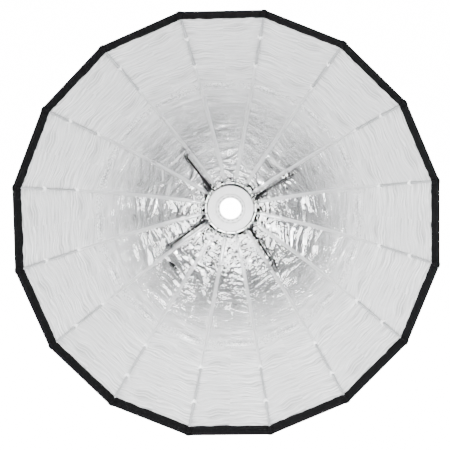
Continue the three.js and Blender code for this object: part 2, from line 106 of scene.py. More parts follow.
# Edgings
BAND_WIDTH = 38 * MM
BAND_THICKNESS = 1.1 * MM
TAPE_HALF_WIDTH = 8 * MM
TAPE_THICKNESS = 0.9 * MM
SLEEVE_HALF_WIDTHS = (6.2 * MM, 4.6 * MM)  # at the hub and at the first clip
SLEEVE_START = 103 * MM
POCKET_LENGTH = 26 * MM
POCKET_HALF_WIDTH = 9 * MM

# Ribs
ROD_RADIUS = 3 * MM
ROD_SIDES = 16
EYE_RADIUS = 5 * MM
EYE_WIDTH = 6 * MM
EYE_HOLE = 1.8 * MM
CLIP_STATIONS = (463 * MM, 538 * MM)

# Sewing
STITCH_LENGTH = 3.4 * MM
STITCH_RADIUS = 0.28 * MM
STITCH_PITCH = 4.6 * MM

# Hub
FLANGE_BORE = 50 * MM
GROOVE_INSET = 5.5 * MM  # from the flange's edge to its groove
TICK_INSET = 2.9 * MM  # from the flange's edge to the middle of a moulded tick
TICK_COUNT = 24
TICK_HALF_SIZE = (1.6 * MM, 0.5 * MM)
TICK_HEIGHT = 0.35 * MM
SLOT_RING_RADII = (36.9 * MM, 43.4 * MM, 51.2 * MM)  # bore, where the dark ring of painted shade turns to pale, edge
SLOT_RING_ENDS = (-31 * MM, -29.5 * MM)  # front and back, along Y
SCREW_COUNT = 6
SCREW_RING = 56.5 * MM
SCREW_HEAD = 2.6 * MM
CUFF_WALL = 5 * MM
CUFF_STEPS = 320
CUFF_GATHERS = ((56, 0.45 * MM, 0), (23, 0.2 * MM, 1))  # waves round the hub, height, phase

# The frame that the CAD gives

joints = {joint["child"]: joint for joint in frame["joints"]}
rib_names = sorted(name for name in frame["bodies"] if name.startswith("rib_"))
RIB_COUNT = len(rib_names)
GORE = 2 * math.pi / RIB_COUNT


def points_of(mesh):
    return np.array([vertex.co for vertex in mesh.vertices], float).reshape(-1, 3)


class RibFrame:
    """One rib's own frame, from its hinge."""

    def __init__(self, index, body):
        x, y, z = joints[body]["pos_m"]
        angle = math.atan2(z, x)
        self.index = index
        self.body = body
        self.label = body[len("rib_"):]
        self.radial = np.array((math.cos(angle), 0, math.sin(angle)))
        self.lateral = np.array((math.sin(angle), 0, -math.cos(angle)))
        self.out = np.array((0.0, -1.0, 0.0))
        self.hinge = np.array((math.hypot(x, z), -y))
        self.fold = math.radians(joints[body]["range_deg"][1])

    def place(self, radial, lateral, out):
        """Points of the model from coordinates in the rib's frame."""
        radial, lateral, out = np.broadcast_arrays(radial, lateral, out)
        return (
            radial[..., None] * self.radial
            + lateral[..., None] * self.lateral
            + out[..., None] * self.out
        )


ribs = [RibFrame(index, body) for index, body in enumerate(rib_names)]


def cloth_ends():
    """The lining's first and last points on a rib: (station, height) at the cuff and the rim."""
    rib = ribs[0]
    points = points_of(frame["nodes"]["canopy_" + rib.label].data)
    on_rib = points[np.abs(points @ rib.lateral) < 0.1 * MM]
    radial, out = on_rib @ rib.radial, on_rib @ rib.out
    first, last = radial.argmin(), out.argmax()
    return (radial[first], out[first]), (radial[last], out[last])


(START, START_HEIGHT), (RIM, RIM_HEIGHT) = cloth_ends()
BOWL = (RIM_HEIGHT - START_HEIGHT) / (RIM**2 - START**2)
ROD_LIFT = (ROD_RADIUS + 1.5 * MM) / math.cos(GORE / 2)  # rod's middle over the lining
BAND_START = RIM - (BAND_WIDTH + 2 * MM) / math.hypot(1, 2 * BOWL * RIM)


def bowl_height(station):
    return START_HEIGHT + BOWL * (station**2 - START**2)


def bowl_slope(station):
    return 2 * BOWL * station


def arc_length(station):
    """Length along the bowl's curve from its lowest point to a station."""
    slope = bowl_slope(station)
    return (slope * np.hypot(1, slope) + np.arcsinh(slope)) / (4 * BOWL)


def even_stations(start, end, count):
    """Stations from start to end, evenly spaced along the curve."""
    fine = np.linspace(start, end, 2000)
    wanted = np.linspace(arc_length(start), arc_length(end), count)
    return np.interp(wanted, arc_length(fine), fine)


def cloth_stations():
    """Stations of the cloth grid's rows, closest near the hub."""
    turn = MIRROR_ZONE[0]
    inner = even_stations(START, turn, int((arc_length(turn) - arc_length(START)) / ROW_STEPS[0]))
    outer = even_stations(turn, RIM, int((arc_length(RIM) - arc_length(turn)) / ROW_STEPS[1]))
    return np.concatenate((inner, outer[1:]))


def smooth_step(low, high, value):
    t = np.clip((value - low) / (high - low), 0, 1)
    return t * t * (3 - 2 * t)


# Wrinkles in the cloth


class Noise:
    """Smooth random values over a plane, the same on each run."""

    SIZE = 64

    def __init__(self, seed):
        self.table = np.random.default_rng(seed).uniform(-1, 1, (self.SIZE, self.SIZE))

    def __call__(self, x, y):
        x, y = np.broadcast_arrays(x, y)
        column, row = np.floor(x).astype(int), np.floor(y).astype(int)
        u, v = x - column, y - row
        u, v = u * u * (3 - 2 * u), v * v * (3 - 2 * v)
        column, row = column % self.SIZE, row % self.SIZE
        column_next, row_next = (column + 1) % self.SIZE, (row + 1) % self.SIZE
        near = self.table[row, column] * (1 - u) + self.table[row, column_next] * u
        far = self.table[row_next, column] * (1 - u) + self.table[row_next, column_next] * u
        return near * (1 - v) + far * v


gore_noise = [[Noise(100 * gore + layer) for layer in range(5)] for gore in range(RIB_COUNT)]


def creases_from(across, along, spokes, phase, reach, height):
    """Creases that fan out from a point, with the distances across and along from it."""
    distance = np.hypot(across, along)
    fan = np.sin(np.arctan2(across, along) * spokes + phase)
    return height * fan * np.exp(-distance / reach) * smooth_step(0, 0.5 * reach, distance)


def crease(value):
    """Turns smooth waves into flat facets that meet in sharp folds."""
    return 1.9 * np.sqrt(value**2 + 0.003) - 0.55


def pleats(gore, share, station):
    """Folds that run straight across a gore from rib to rib, highest near the hub."""
    noise = gore_noise[gore]
    lean = 34 * MM * noise[0](gore * 0.37, station / (60 * MM))
    bend = 8 * MM * noise[1](share * 2.2, station / (45 * MM))
    line = station + lean * (share - 0.5) + bend
    coarse = crease(noise[2](line / (17 * MM), share * 1.1))
    medium = noise[4](line / (9 * MM) + 20, share * 1.4 + 4)
    fine = crease(noise[3](line / (5 * MM), share * 2.4 + 9))
    near = 1 - smooth_step(*MIRROR_ZONE, station)
    calm = 1 - 0.7 * smooth_step(MIRROR_ZONE[1], RIM, station)
    far = smooth_step(*MIRROR_ZONE, station) * calm
    patches = smooth_step(-0.25, 0.5, noise[4](share * 1.7 + 3, station / (80 * MM)))
    height = (2.6 * near * (0.45 + 0.55 * patches) + far * (0.3 + 0.8 * patches)) * MM
    return height * (1.15 * coarse + 0.5 * medium + 0.2 * fine)


def crumple(gore, share, station):
    """The lining's loose crushed foil round the hub, worst at the bottom."""
    noise = gore_noise[gore]
    across = share * station * math.sin(GORE)
    coarse = crease(noise[3](across / (20 * MM), station / (15 * MM) + 5))
    fine = crease(noise[0](across / (6.5 * MM) + 7, station / (5.5 * MM)))
    down = max(0.0, -math.sin((gore + 1) * GORE))
    crushed = 1 - smooth_step(CRUSHED_ZONE[0], CRUSHED_ZONE[1] + 60 * MM * down, station)
    return (0.3 + 0.9 * down) * crushed * (1.5 * coarse + 0.5 * fine) * MM


def corner_creases(gore, share, station):
    """Creases that pull from the rim's corners and from the clips."""
    total = 0
    slant = np.hypot(1, bowl_slope(station))
    for end, across_share in ((0, share), (1, 1 - share)):
        across = across_share * station * 2 * math.sin(GORE / 2)
        phase = 1.7 * gore + 2.3 * end
        total = total + creases_from(across, (RIM - station) * slant, 17, phase, 75 * MM, 1.5 * MM)
        for clip in CLIP_STATIONS:
            along = (clip - station) * slant
            total = total + creases_from(across, along, 7, phase, 24 * MM, 1.1 * MM)
    return total


def rim_ripples(gore, share, station):
    """Small puckers along the sewn edge."""
    depth = (RIM - station) * np.hypot(1, bowl_slope(station))
    puckers = gore_noise[gore][2](share * 15, depth / (40 * MM))
    return 1.3 * MM * puckers * np.exp(-np.abs(depth - BAND_WIDTH) / (22 * MM))


def cloth_lift(gore, share, station):
    """How far the lining stands in from the straight chord between its ribs."""
    open_share = (np.clip(station, START, RIM) - START) / (RIM - START)
    belly = SAG * np.sin(math.pi * open_share) * 4 * share * (1 - share)
    between = np.clip(4 * share * (1 - share), 0, 1) ** 0.35
    held = smooth_step(START, START + 12 * MM, station)
    folds = pleats(gore, share, station) + crumple(gore, share, station)
    edge = smooth_step(RIM + MM, RIM - 14 * MM, station)
    pulled = corner_creases(gore, share, station) + rim_ripples(gore, share, station)
    return belly + held * between * (folds * edge + pulled * edge)


def cloth_point(rib, side, share, station, lift=0.0):
    """A point of the lining, share of a gore's width from a rib on its lateral side 1 or -1."""
    gore = rib.index if side < 0 else (rib.index - 1) % RIB_COUNT
    gore_share = share if side < 0 else 1 - share
    slope = bowl_slope(station) / math.cos(GORE / 2)
    length = np.hypot(1, slope)
    rise = (cloth_lift(gore, gore_share, station) + lift) / length
    radial = station * (1 - share * (1 - math.cos(GORE))) - rise * slope * math.cos(GORE / 2)
    lateral = side * (station * share * math.sin(GORE) - rise * slope * math.sin(GORE / 2))
    return rib.place(radial, lateral, bowl_height(station) + rise)


def cloth_normal(rib, side, share, station):
    """The lining's normal, towards the mouth."""
    step_share, step = 0.004, 0.6 * MM

    def point(*place):
        return cloth_point(rib, side, *place)

    across = point(share + step_share, station) - point(np.maximum(share - step_share, 0), station)
    along = point(share, station + step) - point(share, station - step)
    normal = np.cross(across, along)
    normal /= np.linalg.norm(normal, axis=-1, keepdims=True)
    towards = np.sign((normal @ rib.out)[..., None])
    return normal * np.where(towards == 0, 1, towards)


def rib_normal(rib, station):
    """The normal of the bowl on the rib itself."""
    slope = bowl_slope(station)
    length = np.hypot(1, slope)
    return rib.place(-slope / length, 0 * station, 1 / length)


def beside_rib(rib, lateral, station, lift):
    """Points a lateral distance from a rib, lifted square off the bowl there."""
    lateral, station, lift = np.broadcast_arrays(lateral, station, lift)
    share = np.abs(lateral) / (station * math.sin(GORE))
    right = cloth_point(rib, 1, share, station)
    left = cloth_point(rib, -1, share, station)
    on_cloth = np.where(lateral[..., None] > 0, right, left)
    return on_cloth + lift[..., None] * rib_normal(rib, station)


# Meshes


def add_object(name, data):
    made = bpy.data.objects.new(name, data)
    bpy.context.scene.collection.objects.link(made)
    return made


def mesh_object(name, points, faces, edges=()):
    mesh = bpy.data.meshes.new(name)
    mesh.from_pydata(np.asarray(points, float).tolist(), edges, [list(map(int, face)) for face in faces])
    return add_object(name, mesh)


def shade(piece, angle=35):
    """Smooth shading, with edges over the angle left sharp."""
    mesh = piece.data
    mesh.polygons.foreach_set("use_smooth", [True] * len(mesh.polygons))
    mesh.set_sharp_from_angle(angle=math.radians(angle))
    mesh.update()


def face_outwards(piece, weld=1e-7, flat_angle=None):
    """Welds a closed mesh and turns its faces outwards. Faces within an angle are merged."""
    shape = bmesh.new()
    shape.from_mesh(piece.data)
    bmesh.ops.remove_doubles(shape, verts=shape.verts, dist=weld)
    if flat_angle:
        bmesh.ops.dissolve_limit(shape, angle_limit=flat_angle, verts=shape.verts, edges=shape.edges)
    bmesh.ops.recalc_face_normals(shape, faces=shape.faces)
    shape.to_mesh(piece.data)
    shape.free()


def round_edges(piece, width, angle=30):
    """Rounds the edges that are sharper than an angle, and returns the plain mesh."""
    rounding = piece.modifiers.new("rounded_edges", "BEVEL")
    rounding.width = width
    rounding.segments = 2
    rounding.limit_method = "ANGLE"
    rounding.angle_limit = math.radians(angle)
    return baked_mesh(piece)


def make_piece(name, shapes, finishes, body, angle=35):
    """One piece from closed shapes. A shape is (points, faces, which finish)."""
    points, faces, which, start = [], [], [], 0
    for shape_points, shape_faces, finish in shapes:
        flat = np.asarray(shape_points, float).reshape(-1, 3)
        points.append(flat)
        faces.extend([[start + i for i in face] for face in shape_faces])
        which.extend([finish] * len(shape_faces))
        start += len(flat)
    piece = mesh_object(name, np.concatenate(points), faces)
    piece.data.polygons.foreach_set("material_index", which)
    for finish in finishes:
        piece.data.materials.append(finish)
    face_outwards(piece)
    shade(piece, angle)
    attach(piece, body)
    return piece


def loft(sections, closed=False):
    """A closed skin over closed sections, given as rows of points, with flat ends unless closed."""
    count, corners = sections.shape[:2]
    faces = []
    for row in range(count if closed else count - 1):
        after = (row + 1) % count
        for i in range(corners):
            j = (i + 1) % corners
            faces.append((row * corners + i, row * corners + j, after * corners + j, after * corners + i))
    if not closed:
        faces.append(tuple(range(corners)))
        faces.append(tuple((count - 1) * corners + i for i in range(corners)))
    return sections.reshape(-1, 3), faces


def spin(profile, centre, axis, segments):
    """A ring: a closed profile of (radius, height) turned about an axis."""
    axis = Vector(axis).normalized()
    start = axis.orthogonal().normalized()
    across = axis.cross(start)
    rows = []
    for step in range(segments):
        angle = 2 * math.pi * step / segments
        arm = start * math.cos(angle) + across * math.sin(angle)
        rows.append([Vector(centre) + arm * radius + axis * height for radius, height in profile])
    return loft(np.array(rows, float), closed=True)


def rounded(low, high, radius, steps=3):
    """Corners of a rectangle from low to high with rounded corners, for a profile."""
    (x0, y0), (x1, y1) = low, high
    centres = (
        (x1 - radius, y0 + radius, -90),
        (x1 - radius, y1 - radius, 0),
        (x0 + radius, y1 - radius, 90),
        (x0 + radius, y0 + radius, 180),
    )
    corners = []
    for x, y, start in centres:
        for step in range(steps + 1):
            angle = math.radians(start + 90 * step / steps)
            corners.append((x + radius * math.cos(angle), y + radius * math.sin(angle)))
    return corners


def baked_mesh(source):
    """The plain mesh of an object with its modifiers, which are then removed with it."""
    bpy.context.view_layer.update()
    graph = bpy.context.evaluated_depsgraph_get()
    mesh = bpy.data.meshes.new_from_object(source.evaluated_get(graph))
    bpy.data.objects.remove(source)
    return mesh


def shape_of(mesh, finish):
    """A mesh as a shape for make_piece."""
    return points_of(mesh), [tuple(face.vertices) for face in mesh.polygons], finish


# Geometry Nodes


def new_group(name, kind, inputs, outputs):
    """An empty node group, with what it is given and where its results go."""
    tree = bpy.data.node_groups.new(name, kind)
    for label, socket, default in inputs:
        made = tree.interface.new_socket(label, in_out="INPUT", socket_type="NodeSocket" + socket)
        if default is not None:
            made.default_value = default
    for label, socket in outputs:
        tree.interface.new_socket(label, in_out="OUTPUT", socket_type="NodeSocket" + socket)
    return tree, tree.nodes.new("NodeGroupInput").outputs, tree.nodes.new("NodeGroupOutput").inputs


def fill_inputs(tree, node, inputs):
    """Links or sets a node's inputs, by name or number."""
    for key, value in dict(inputs).items():
        if isinstance(value, bpy.types.NodeSocket):
            tree.links.new(value, node.inputs[key])
        else:
            node.inputs[key].default_value = value


def add_node(tree, kind, inputs=(), **settings):
    """A node with its settings, which come before its inputs."""
    node = tree.nodes.new(kind)
    for key, value in settings.items():
        setattr(node, key, value)
    fill_inputs(tree, node, inputs)
    return node


def first_of(tree, kind, inputs=(), **settings):
    """The first output of a new node."""
    return add_node(tree, kind, inputs, **settings).outputs[0]


def random_to(tree, highest, seed):
    """A random number for each point, from nought."""
    return add_node(tree, "FunctionNodeRandomValue", {"Max": highest, "Seed": seed}).outputs[1]


def turned_by(tree, facing, extra):
    """A rotation turned further about its own axes."""
    turns = {"Rotation": facing, "Rotate By": extra}
    return first_of(tree, "FunctionNodeRotateRotation", turns, rotation_space="LOCAL")


def place_copies(tree, result, finish, **inputs):
    """Ends a tree with copies on points, as plain geometry in one finish."""
    placed = first_of(tree, "GeometryNodeInstanceOnPoints", inputs)
    real = first_of(tree, "GeometryNodeRealizeInstances", {"Geometry": placed})
    painted = first_of(tree, "GeometryNodeSetMaterial", {"Geometry": real, "Material": finish})
    tree.links.new(painted, result[0])


def stitch_row_tree():
    """Stitches laid end to end along seams, given as a mesh of edges."""
    inputs = (
        ("Seam", "Geometry", None),
        ("Pitch", "Float", STITCH_PITCH),
        ("Length", "Float", STITCH_LENGTH),
        ("Radius", "Float", STITCH_RADIUS),
        ("Wander", "Float", 0.08),
        ("Seed", "Int", 7),
        ("Finish", "Material", None),
    )
    tree, given, result = new_group("stitch_row", "GeometryNodeTree", inputs, [("Stitches", "Geometry")])
    curve = first_of(tree, "GeometryNodeMeshToCurve", {"Mesh": given["Seam"]})
    spacing = {"Curve": curve, "Length": given["Pitch"]}
    spaced = first_of(tree, "GeometryNodeResampleCurve", spacing, mode="LENGTH")
    tangent = first_of(tree, "GeometryNodeInputTangent")
    aligned = first_of(tree, "FunctionNodeAlignRotationToVector", {"Vector": tangent}, axis="Z")
    wander = random_to(tree, given["Wander"], given["Seed"])
    swing = first_of(tree, "ShaderNodeCombineXYZ", {"X": wander, "Y": wander})
    turned = turned_by(tree, aligned, swing)
    half = first_of(tree, "ShaderNodeMath", {0: given["Length"], 1: 0.5}, operation="MULTIPLY")
    size = first_of(tree, "ShaderNodeCombineXYZ", {"X": given["Radius"], "Y": given["Radius"], "Z": half})
    bead = first_of(tree, "GeometryNodeMeshUVSphere", {"Segments": 6, "Rings": 4, "Radius": 1.0})
    place_copies(tree, result, given["Finish"], Points=spaced, Instance=bead, Rotation=turned, Scale=size)
    return tree


def repeat_tree():
    """Copies of one part on points, each turned by its point's own "turn"."""
    inputs = (
        ("Points", "Geometry", None),
        ("Part", "Object", None),
        ("Size", "Float", 1.0),
        ("Twist", "Float", 0.0),
        ("Seed", "Int", 3),
        ("Finish", "Material", None),
    )
    tree, given, result = new_group("repeat_on_points", "GeometryNodeTree", inputs, [("Copies", "Geometry")])
    part = add_node(tree, "GeometryNodeObjectInfo", {"Object": given["Part"]}).outputs["Geometry"]
    turn = first_of(tree, "GeometryNodeInputNamedAttribute", {"Name": "turn"}, data_type="FLOAT_VECTOR")
    facing = first_of(tree, "FunctionNodeEulerToRotation", {"Euler": turn})
    twist = random_to(tree, given["Twist"], given["Seed"])
    turned = turned_by(tree, facing, first_of(tree, "ShaderNodeCombineXYZ", {"Z": twist}))
    places = {"Points": given["Points"], "Instance": part, "Rotation": turned, "Scale": given["Size"]}
    place_copies(tree, result, given["Finish"], **places)
    return tree


def run_tree(source, tree, **values):
    """Runs a tree on an object and returns the plain mesh that it makes."""
    modifier = source.modifiers.new("made", "NODES")
    modifier.node_group = tree
    sockets = {item.name: item.identifier for item in tree.interface.items_tree if item.in_out == "INPUT"}
    for name, value in values.items():
        modifier[sockets[name]] = value
    return baked_mesh(source)


def stitches(seams, finish, seed):
    """Stitches along seams, each a row of points."""
    points, edges = [], []
    for seam in seams:
        first = len(points)
        points.extend(seam.tolist())
        edges.extend((first + i, first + i + 1) for i in range(len(seam) - 1))
    return run_tree(mesh_object("seam", points, [], edges), stitch_tree, Finish=finish, Seed=seed)


def copies(part, places, finish, twist=0.0):
    """Copies of a part on places, each a point and a 3 by 3 matrix that turns the part."""
    spots = mesh_object("places", [point for point, _ in places], [])
    turns = spots.data.attributes.new("turn", "FLOAT_VECTOR", "POINT")
    angles = [Matrix(turn.tolist()).to_euler()[:] for _, turn in places]
    turns.data.foreach_set("vector", np.array(angles, np.float32).ravel())
    return run_tree(spots, copy_tree, Part=part, Finish=finish, Twist=twist)


stitch_tree = stitch_row_tree()
copy_tree = repeat_tree()


# Effects that several finishes share


def maths(tree, operation, *values):
    """The result of one sum on numbers or sockets."""
    return add_node(tree, "ShaderNodeMath", enumerate(values), operation=operation).outputs[0]


def vectors(tree, operation, *values, **named):
    """The result of one sum on vectors."""
    inputs = {**dict(enumerate(values)), **named}
    node = add_node(tree, "ShaderNodeVectorMath", inputs, operation=operation)
    return node.outputs[1 if operation == "LENGTH" else 0]


def noise_of(tree, place, scale, detail=2.0, roughness=0.5):
    """Soft random values: a number, then a colour."""
    inputs = {"Vector": place, "Scale": scale, "Detail": detail, "Roughness": roughness}
    return add_node(tree, "ShaderNodeTexNoise", inputs).outputs


def span(tree, value, low, high, from_low=0.0, from_high=1.0, **settings):
    """A value mapped from one range to another."""
    inputs = {"Value": value, "From Min": from_low, "From Max": from_high, "To Min": low, "To Max": high}
    return add_node(tree, "ShaderNodeMapRange", inputs, **settings).outputs[0]


def link_all(tree, inputs, **sockets):
    """Links each socket to the input of its name."""
    for name, socket in sockets.items():
        tree.links.new(socket, inputs[name.replace("_", " ").title()])


def effect(name, inputs, *outputs):
    """An empty shader group whose results are numbers."""
    return new_group(name, "ShaderNodeTree", inputs, [(label, "Float") for label in outputs])


def weave_effect():
    """Two sets of threads that cross, from a map in metres."""
    inputs = [("Map", "Vector", None), ("Threads", "Float", 1400.0), ("Unevenness", "Float", 0.3)]
    tree, given, result = effect("plain_weave", inputs, "Height", "Shade")
    scaled = vectors(tree, "SCALE", given["Map"], Scale=given["Threads"])
    split = add_node(tree, "ShaderNodeSeparateXYZ", {0: scaled}).outputs
    turns = [maths(tree, "MULTIPLY", split[axis], 2 * math.pi) for axis in (0, 1)]
    waves = [maths(tree, "ABSOLUTE", maths(tree, "SINE", turn)) for turn in turns]
    slub = noise_of(tree, scaled, 0.13)[0]
    uneven = maths(tree, "MULTIPLY", slub, given["Unevenness"])
    height = maths(tree, "ADD", maths(tree, "MAXIMUM", *waves), uneven)
    link_all(tree, result, height=height, shade=slub)
    return tree


def crinkle_effect():
    """Sharp-edged foil creases of two sizes."""
    inputs = [("Place", "Vector", None), ("Coarse", "Float", 55.0), ("Fine", "Float", 240.0)]
    tree, given, result = effect("foil_crinkle", inputs, "Height", "Shade")
    bent = vectors(tree, "SCALE", noise_of(tree, given["Place"], 18.0)[1], Scale=0.03)
    warped = vectors(tree, "ADD", given["Place"], bent)
    coarse = {"Vector": warped, "Scale": given["Coarse"]}
    cells = add_node(tree, "ShaderNodeTexVoronoi", coarse, feature="DISTANCE_TO_EDGE").outputs[0]
    rumple = noise_of(tree, warped, given["Fine"], 3.0, 0.6)[0]
    ridge = maths(tree, "MULTIPLY", maths(tree, "MINIMUM", cells, 0.25), 2.2)
    link_all(tree, result, height=maths(tree, "ADD", ridge, rumple), shade=rumple)
    return tree


def pulled_effect():
    """Fine lines where cloth is pulled straight across, from a map in metres. Their Shade follows their
    height: painted shade along the lines.
    """
    inputs = [("Map", "Vector", None), ("Across", "Float", 9.0), ("Along", "Float", 150.0)]
    tree, given, result = effect("pulled_lines", inputs, "Height", "Shade")
    stretch = add_node(tree, "ShaderNodeCombineXYZ", {0: given["Across"], 1: given["Along"]}).outputs[0]
    bend = vectors(tree, "SCALE", noise_of(tree, given["Map"], 14.0, 1.0)[1], Scale=0.05)
    place = vectors(tree, "ADD", given["Map"], bend)
    lines = noise_of(tree, vectors(tree, "MULTIPLY", place, stretch), 1.0, 3.0, 0.65)[0]
    strong = span(tree, noise_of(tree, given["Map"], 11.0, 1.0)[0], 0.35, 1.0, 0.35, 0.65)
    swung = maths(tree, "MULTIPLY", maths(tree, "SUBTRACT", lines, 0.5), strong)
    link_all(tree, result, height=swung, shade=maths(tree, "MULTIPLY_ADD", swung, 3.2, 0.62))
    return tree


def wear_effect():
    """A mask of rubbed edges, broken up by noise."""
    inputs = [("Place", "Vector", None), ("Amount", "Float", 0.5), ("Scale", "Float", 160.0)]
    tree, given, result = effect("edge_wear", inputs, "Mask")
    shape = tree.nodes.new("ShaderNodeNewGeometry").outputs
    edge = span(tree, shape["Pointiness"], 0, 1, 0.52, 0.62)
    patches = noise_of(tree, given["Place"], given["Scale"], 4.0)[0]
    both = maths(tree, "MULTIPLY", edge, span(tree, patches, 0, 1, 0.42, 0.62))
    link_all(tree, result, mask=maths(tree, "MULTIPLY", both, given["Amount"]))
    return tree


def grain_effect():
    """Fine moulded or cast grain, with slow changes of shade."""
    inputs = [("Place", "Vector", None), ("Scale", "Float", 1500.0)]
    tree, given, result = effect("surface_grain", inputs, "Height", "Shade")
    fine = noise_of(tree, given["Place"], given["Scale"], 3.0)[0]
    link_all(tree, result, height=fine, shade=noise_of(tree, given["Place"], 22.0, 3.0)[0])
    return tree


weave = weave_effect()
crinkle = crinkle_effect()
pulled = pulled_effect()
edge_wear = wear_effect()
grain = grain_effect()


# Finishes


def new_finish(name, **values):
    """A material with its shader's own values set. Returns it with its tree, shader and places."""
    finish = bpy.data.materials.new(name)
    finish.use_nodes = True
    tree = finish.node_tree
    shader = tree.nodes["Principled BSDF"]
    for key, value in values.items():
        shader.inputs[key.replace("_", " ").title().replace("Ior", "IOR")].default_value = value
    places = tree.nodes.new("ShaderNodeTexCoord").outputs
    return finish, tree, shader.inputs, places


def use_effect(tree, group, **inputs):
    node = tree.nodes.new("ShaderNodeGroup")
    node.node_tree = group
    fill_inputs(tree, node, inputs)
    return node.outputs


def mix_colour(tree, factor, first, second):
    """A mix of two colours, which are plain values or sockets."""
    inputs = {0: factor}
    for number, colour in ((6, first), (7, second)):
        inputs[number] = colour if isinstance(colour, bpy.types.NodeSocket) else (*colour, 1)
    return add_node(tree, "ShaderNodeMix", inputs, data_type="RGBA").outputs[2]


def lighter(colour, ratio, more):
    return tuple(min(1, channel * ratio + more) for channel in colour)


def bump(tree, height, strength, distance, normal=None):
    inputs = {"Height": height, "Strength": strength, "Distance": distance}
    if normal is not None:
        inputs["Normal"] = normal
    return add_node(tree, "ShaderNodeBump", inputs).outputs[0]


def silver_lining_finish():
    """Metallised cloth: bare, bright film near the hub and satin further out, with painted darker reflection
    in patches of a ring between.
    """
    finish, tree, shader, places = new_finish("silver_lining")
    reach = vectors(tree, "LENGTH", vectors(tree, "MULTIPLY", places["Object"], (1, 0, 1)))
    outer = span(tree, reach, 0, 1, *MIRROR_ZONE)
    foil = use_effect(tree, crinkle, Place=places["Object"], Coarse=48.0, Fine=200.0)
    threads = use_effect(tree, weave, Map=places["UV"], Threads=900.0)
    lines = use_effect(tree, pulled, Map=places["UV"])
    # Painted darker reflection: darker colours laid in noisy patches over a ring between these radii.
    inner_edge = span(tree, reach, 0, 1, *PAINTED_DARK_REFLECTION_STARTS)
    outer_edge = maths(tree, "SUBTRACT", 1.0, span(tree, reach, 0, 1, *PAINTED_DARK_REFLECTION_ENDS))
    ring = maths(tree, "MULTIPLY", inner_edge, outer_edge)
    dark_reflection_patches = span(tree, noise_of(tree, places["Object"], 6.5)[0], 0.25, 1.0, 0.38, 0.58)
    # The satin colour follows the pulled lines' Shade: painted shade along the creases.
    satin_with_painted_shade = mix_colour(tree, lines["Shade"], (0.3, 0.304, 0.31), (0.97, 0.973, 0.976))
    painted_dark_reflection = mix_colour(tree, lines["Shade"], (0.16, 0.165, 0.17), (0.6, 0.605, 0.61))
    creased = maths(tree, "MULTIPLY", foil["Height"], span(tree, outer, 0.5, 0.3))
    fine = bump(tree, threads["Height"], 0.05, 0.2 * MM)
    fine = bump(tree, lines["Height"], 0.8, 4.0 * MM, fine)
    link_all(
        tree,
        shader,
        base_color=mix_colour(tree, maths(tree, "MULTIPLY", ring, dark_reflection_patches), satin_with_painted_shade, painted_dark_reflection),
        roughness=maths(tree, "MULTIPLY_ADD", foil["Shade"], 0.12, span(tree, outer, 0.04, 0.26)),
        metallic=span(tree, outer, 1.0, 0.55),
        normal=bump(tree, creased, 0.5, 1.6 * MM, fine),
    )
    return finish


def cloth_finish(name, colour, light, threads, depth, rough, crease_depth):
    """A dull woven cloth or tape on the piece's own map, its colour painted darker in the weave's hollows
    and lighter on its crowns, with some random unevenness.
    """
    finish, tree, shader, places = new_finish(name, specular_ior_level=0.04)
    woven = use_effect(tree, weave, Map=places["UV"], Threads=threads, Unevenness=0.5)
    foil = use_effect(tree, crinkle, Place=places["Object"], Coarse=30.0, Fine=120.0)
    creased = bump(tree, foil["Height"], crease_depth, 1.5 * MM)
    link_all(
        tree,
        shader,
        # Painted shade: the colour follows the weave's height, darker in its hollows.
        base_color=mix_colour(tree, span(tree, woven["Height"], 0, 1, 0.2, 1.4), colour, light),
        roughness=span(tree, foil["Shade"], rough - 0.1, rough + 0.1),
        normal=bump(tree, woven["Height"], 0.6, depth, creased),
    )
    return finish


def plastic_finish(name, colour, shadow, rough, gloss=0.5):
    """Moulded plastic with a fine grain and a little handling dirt."""
    finish, tree, shader, places = new_finish(name, specular_ior_level=gloss)
    skin = use_effect(tree, grain, Place=places["Object"], Scale=1500.0)
    rubbed = use_effect(tree, edge_wear, Place=places["Object"], Amount=0.35)
    plain = mix_colour(tree, span(tree, skin["Shade"], 0, 1, 0.35, 0.75), colour, shadow)
    link_all(
        tree,
        shader,
        base_color=mix_colour(tree, rubbed["Mask"], plain, lighter(colour, 1.15, 0.02)),
        roughness=span(tree, skin["Shade"], rough - 0.07, rough + 0.08),
        normal=bump(tree, skin["Height"], 0.18, 0.12 * MM),
    )
    return finish


def painted_steel_finish():
    """Black paint that has worn to bright steel along its edges."""
    finish, tree, shader, places = new_finish("black_paint", specular_ior_level=0.12)
    skin = use_effect(tree, grain, Place=places["Object"], Scale=900.0)
    worn = use_effect(tree, edge_wear, Place=places["Object"], Amount=0.3, Scale=220.0)
    paint = mix_colour(tree, skin["Shade"], (0.003, 0.003, 0.0033), (0.009, 0.009, 0.0096))
    link_all(
        tree,
        shader,
        base_color=mix_colour(tree, worn["Mask"], paint, (0.42, 0.42, 0.43)),
        metallic=worn["Mask"],
        roughness=span(tree, skin["Shade"], 0.34, 0.52),
        normal=bump(tree, skin["Height"], 0.25, 0.15 * MM),
    )
    return finish


def metal_finish(name, dark, light, rough, stretch, metallic=1.0):
    """Metal with drawn or turned marks that run across the stretch."""
    finish, tree, shader, places = new_finish(name, metallic=metallic)
    drawn = add_node(tree, "ShaderNodeMapping", {"Vector": places["Object"], "Scale": stretch}).outputs[0]
    marks = noise_of(tree, drawn, 900.0, 3.0)[0]
    skin = use_effect(tree, grain, Place=places["Object"], Scale=500.0)
    link_all(
        tree,
        shader,
        base_color=mix_colour(tree, marks, dark, light),
        roughness=span(tree, skin["Shade"], rough - 0.08, rough + 0.1),
        normal=bump(tree, marks, 0.15, 0.05 * MM),
    )
    return finish


def thread_finish(name, colour):
    finish, tree, shader, places = new_finish(name, roughness=0.65, specular_ior_level=0.25)
    skin = use_effect(tree, grain, Place=places["Object"], Scale=2600.0)
    link_all(
        tree,
        shader,
        base_color=mix_colour(tree, skin["Height"], colour, lighter(colour, 1.8, 0.004)),
        normal=bump(tree, skin["Height"], 0.4, 0.1 * MM),
    )
    return finish


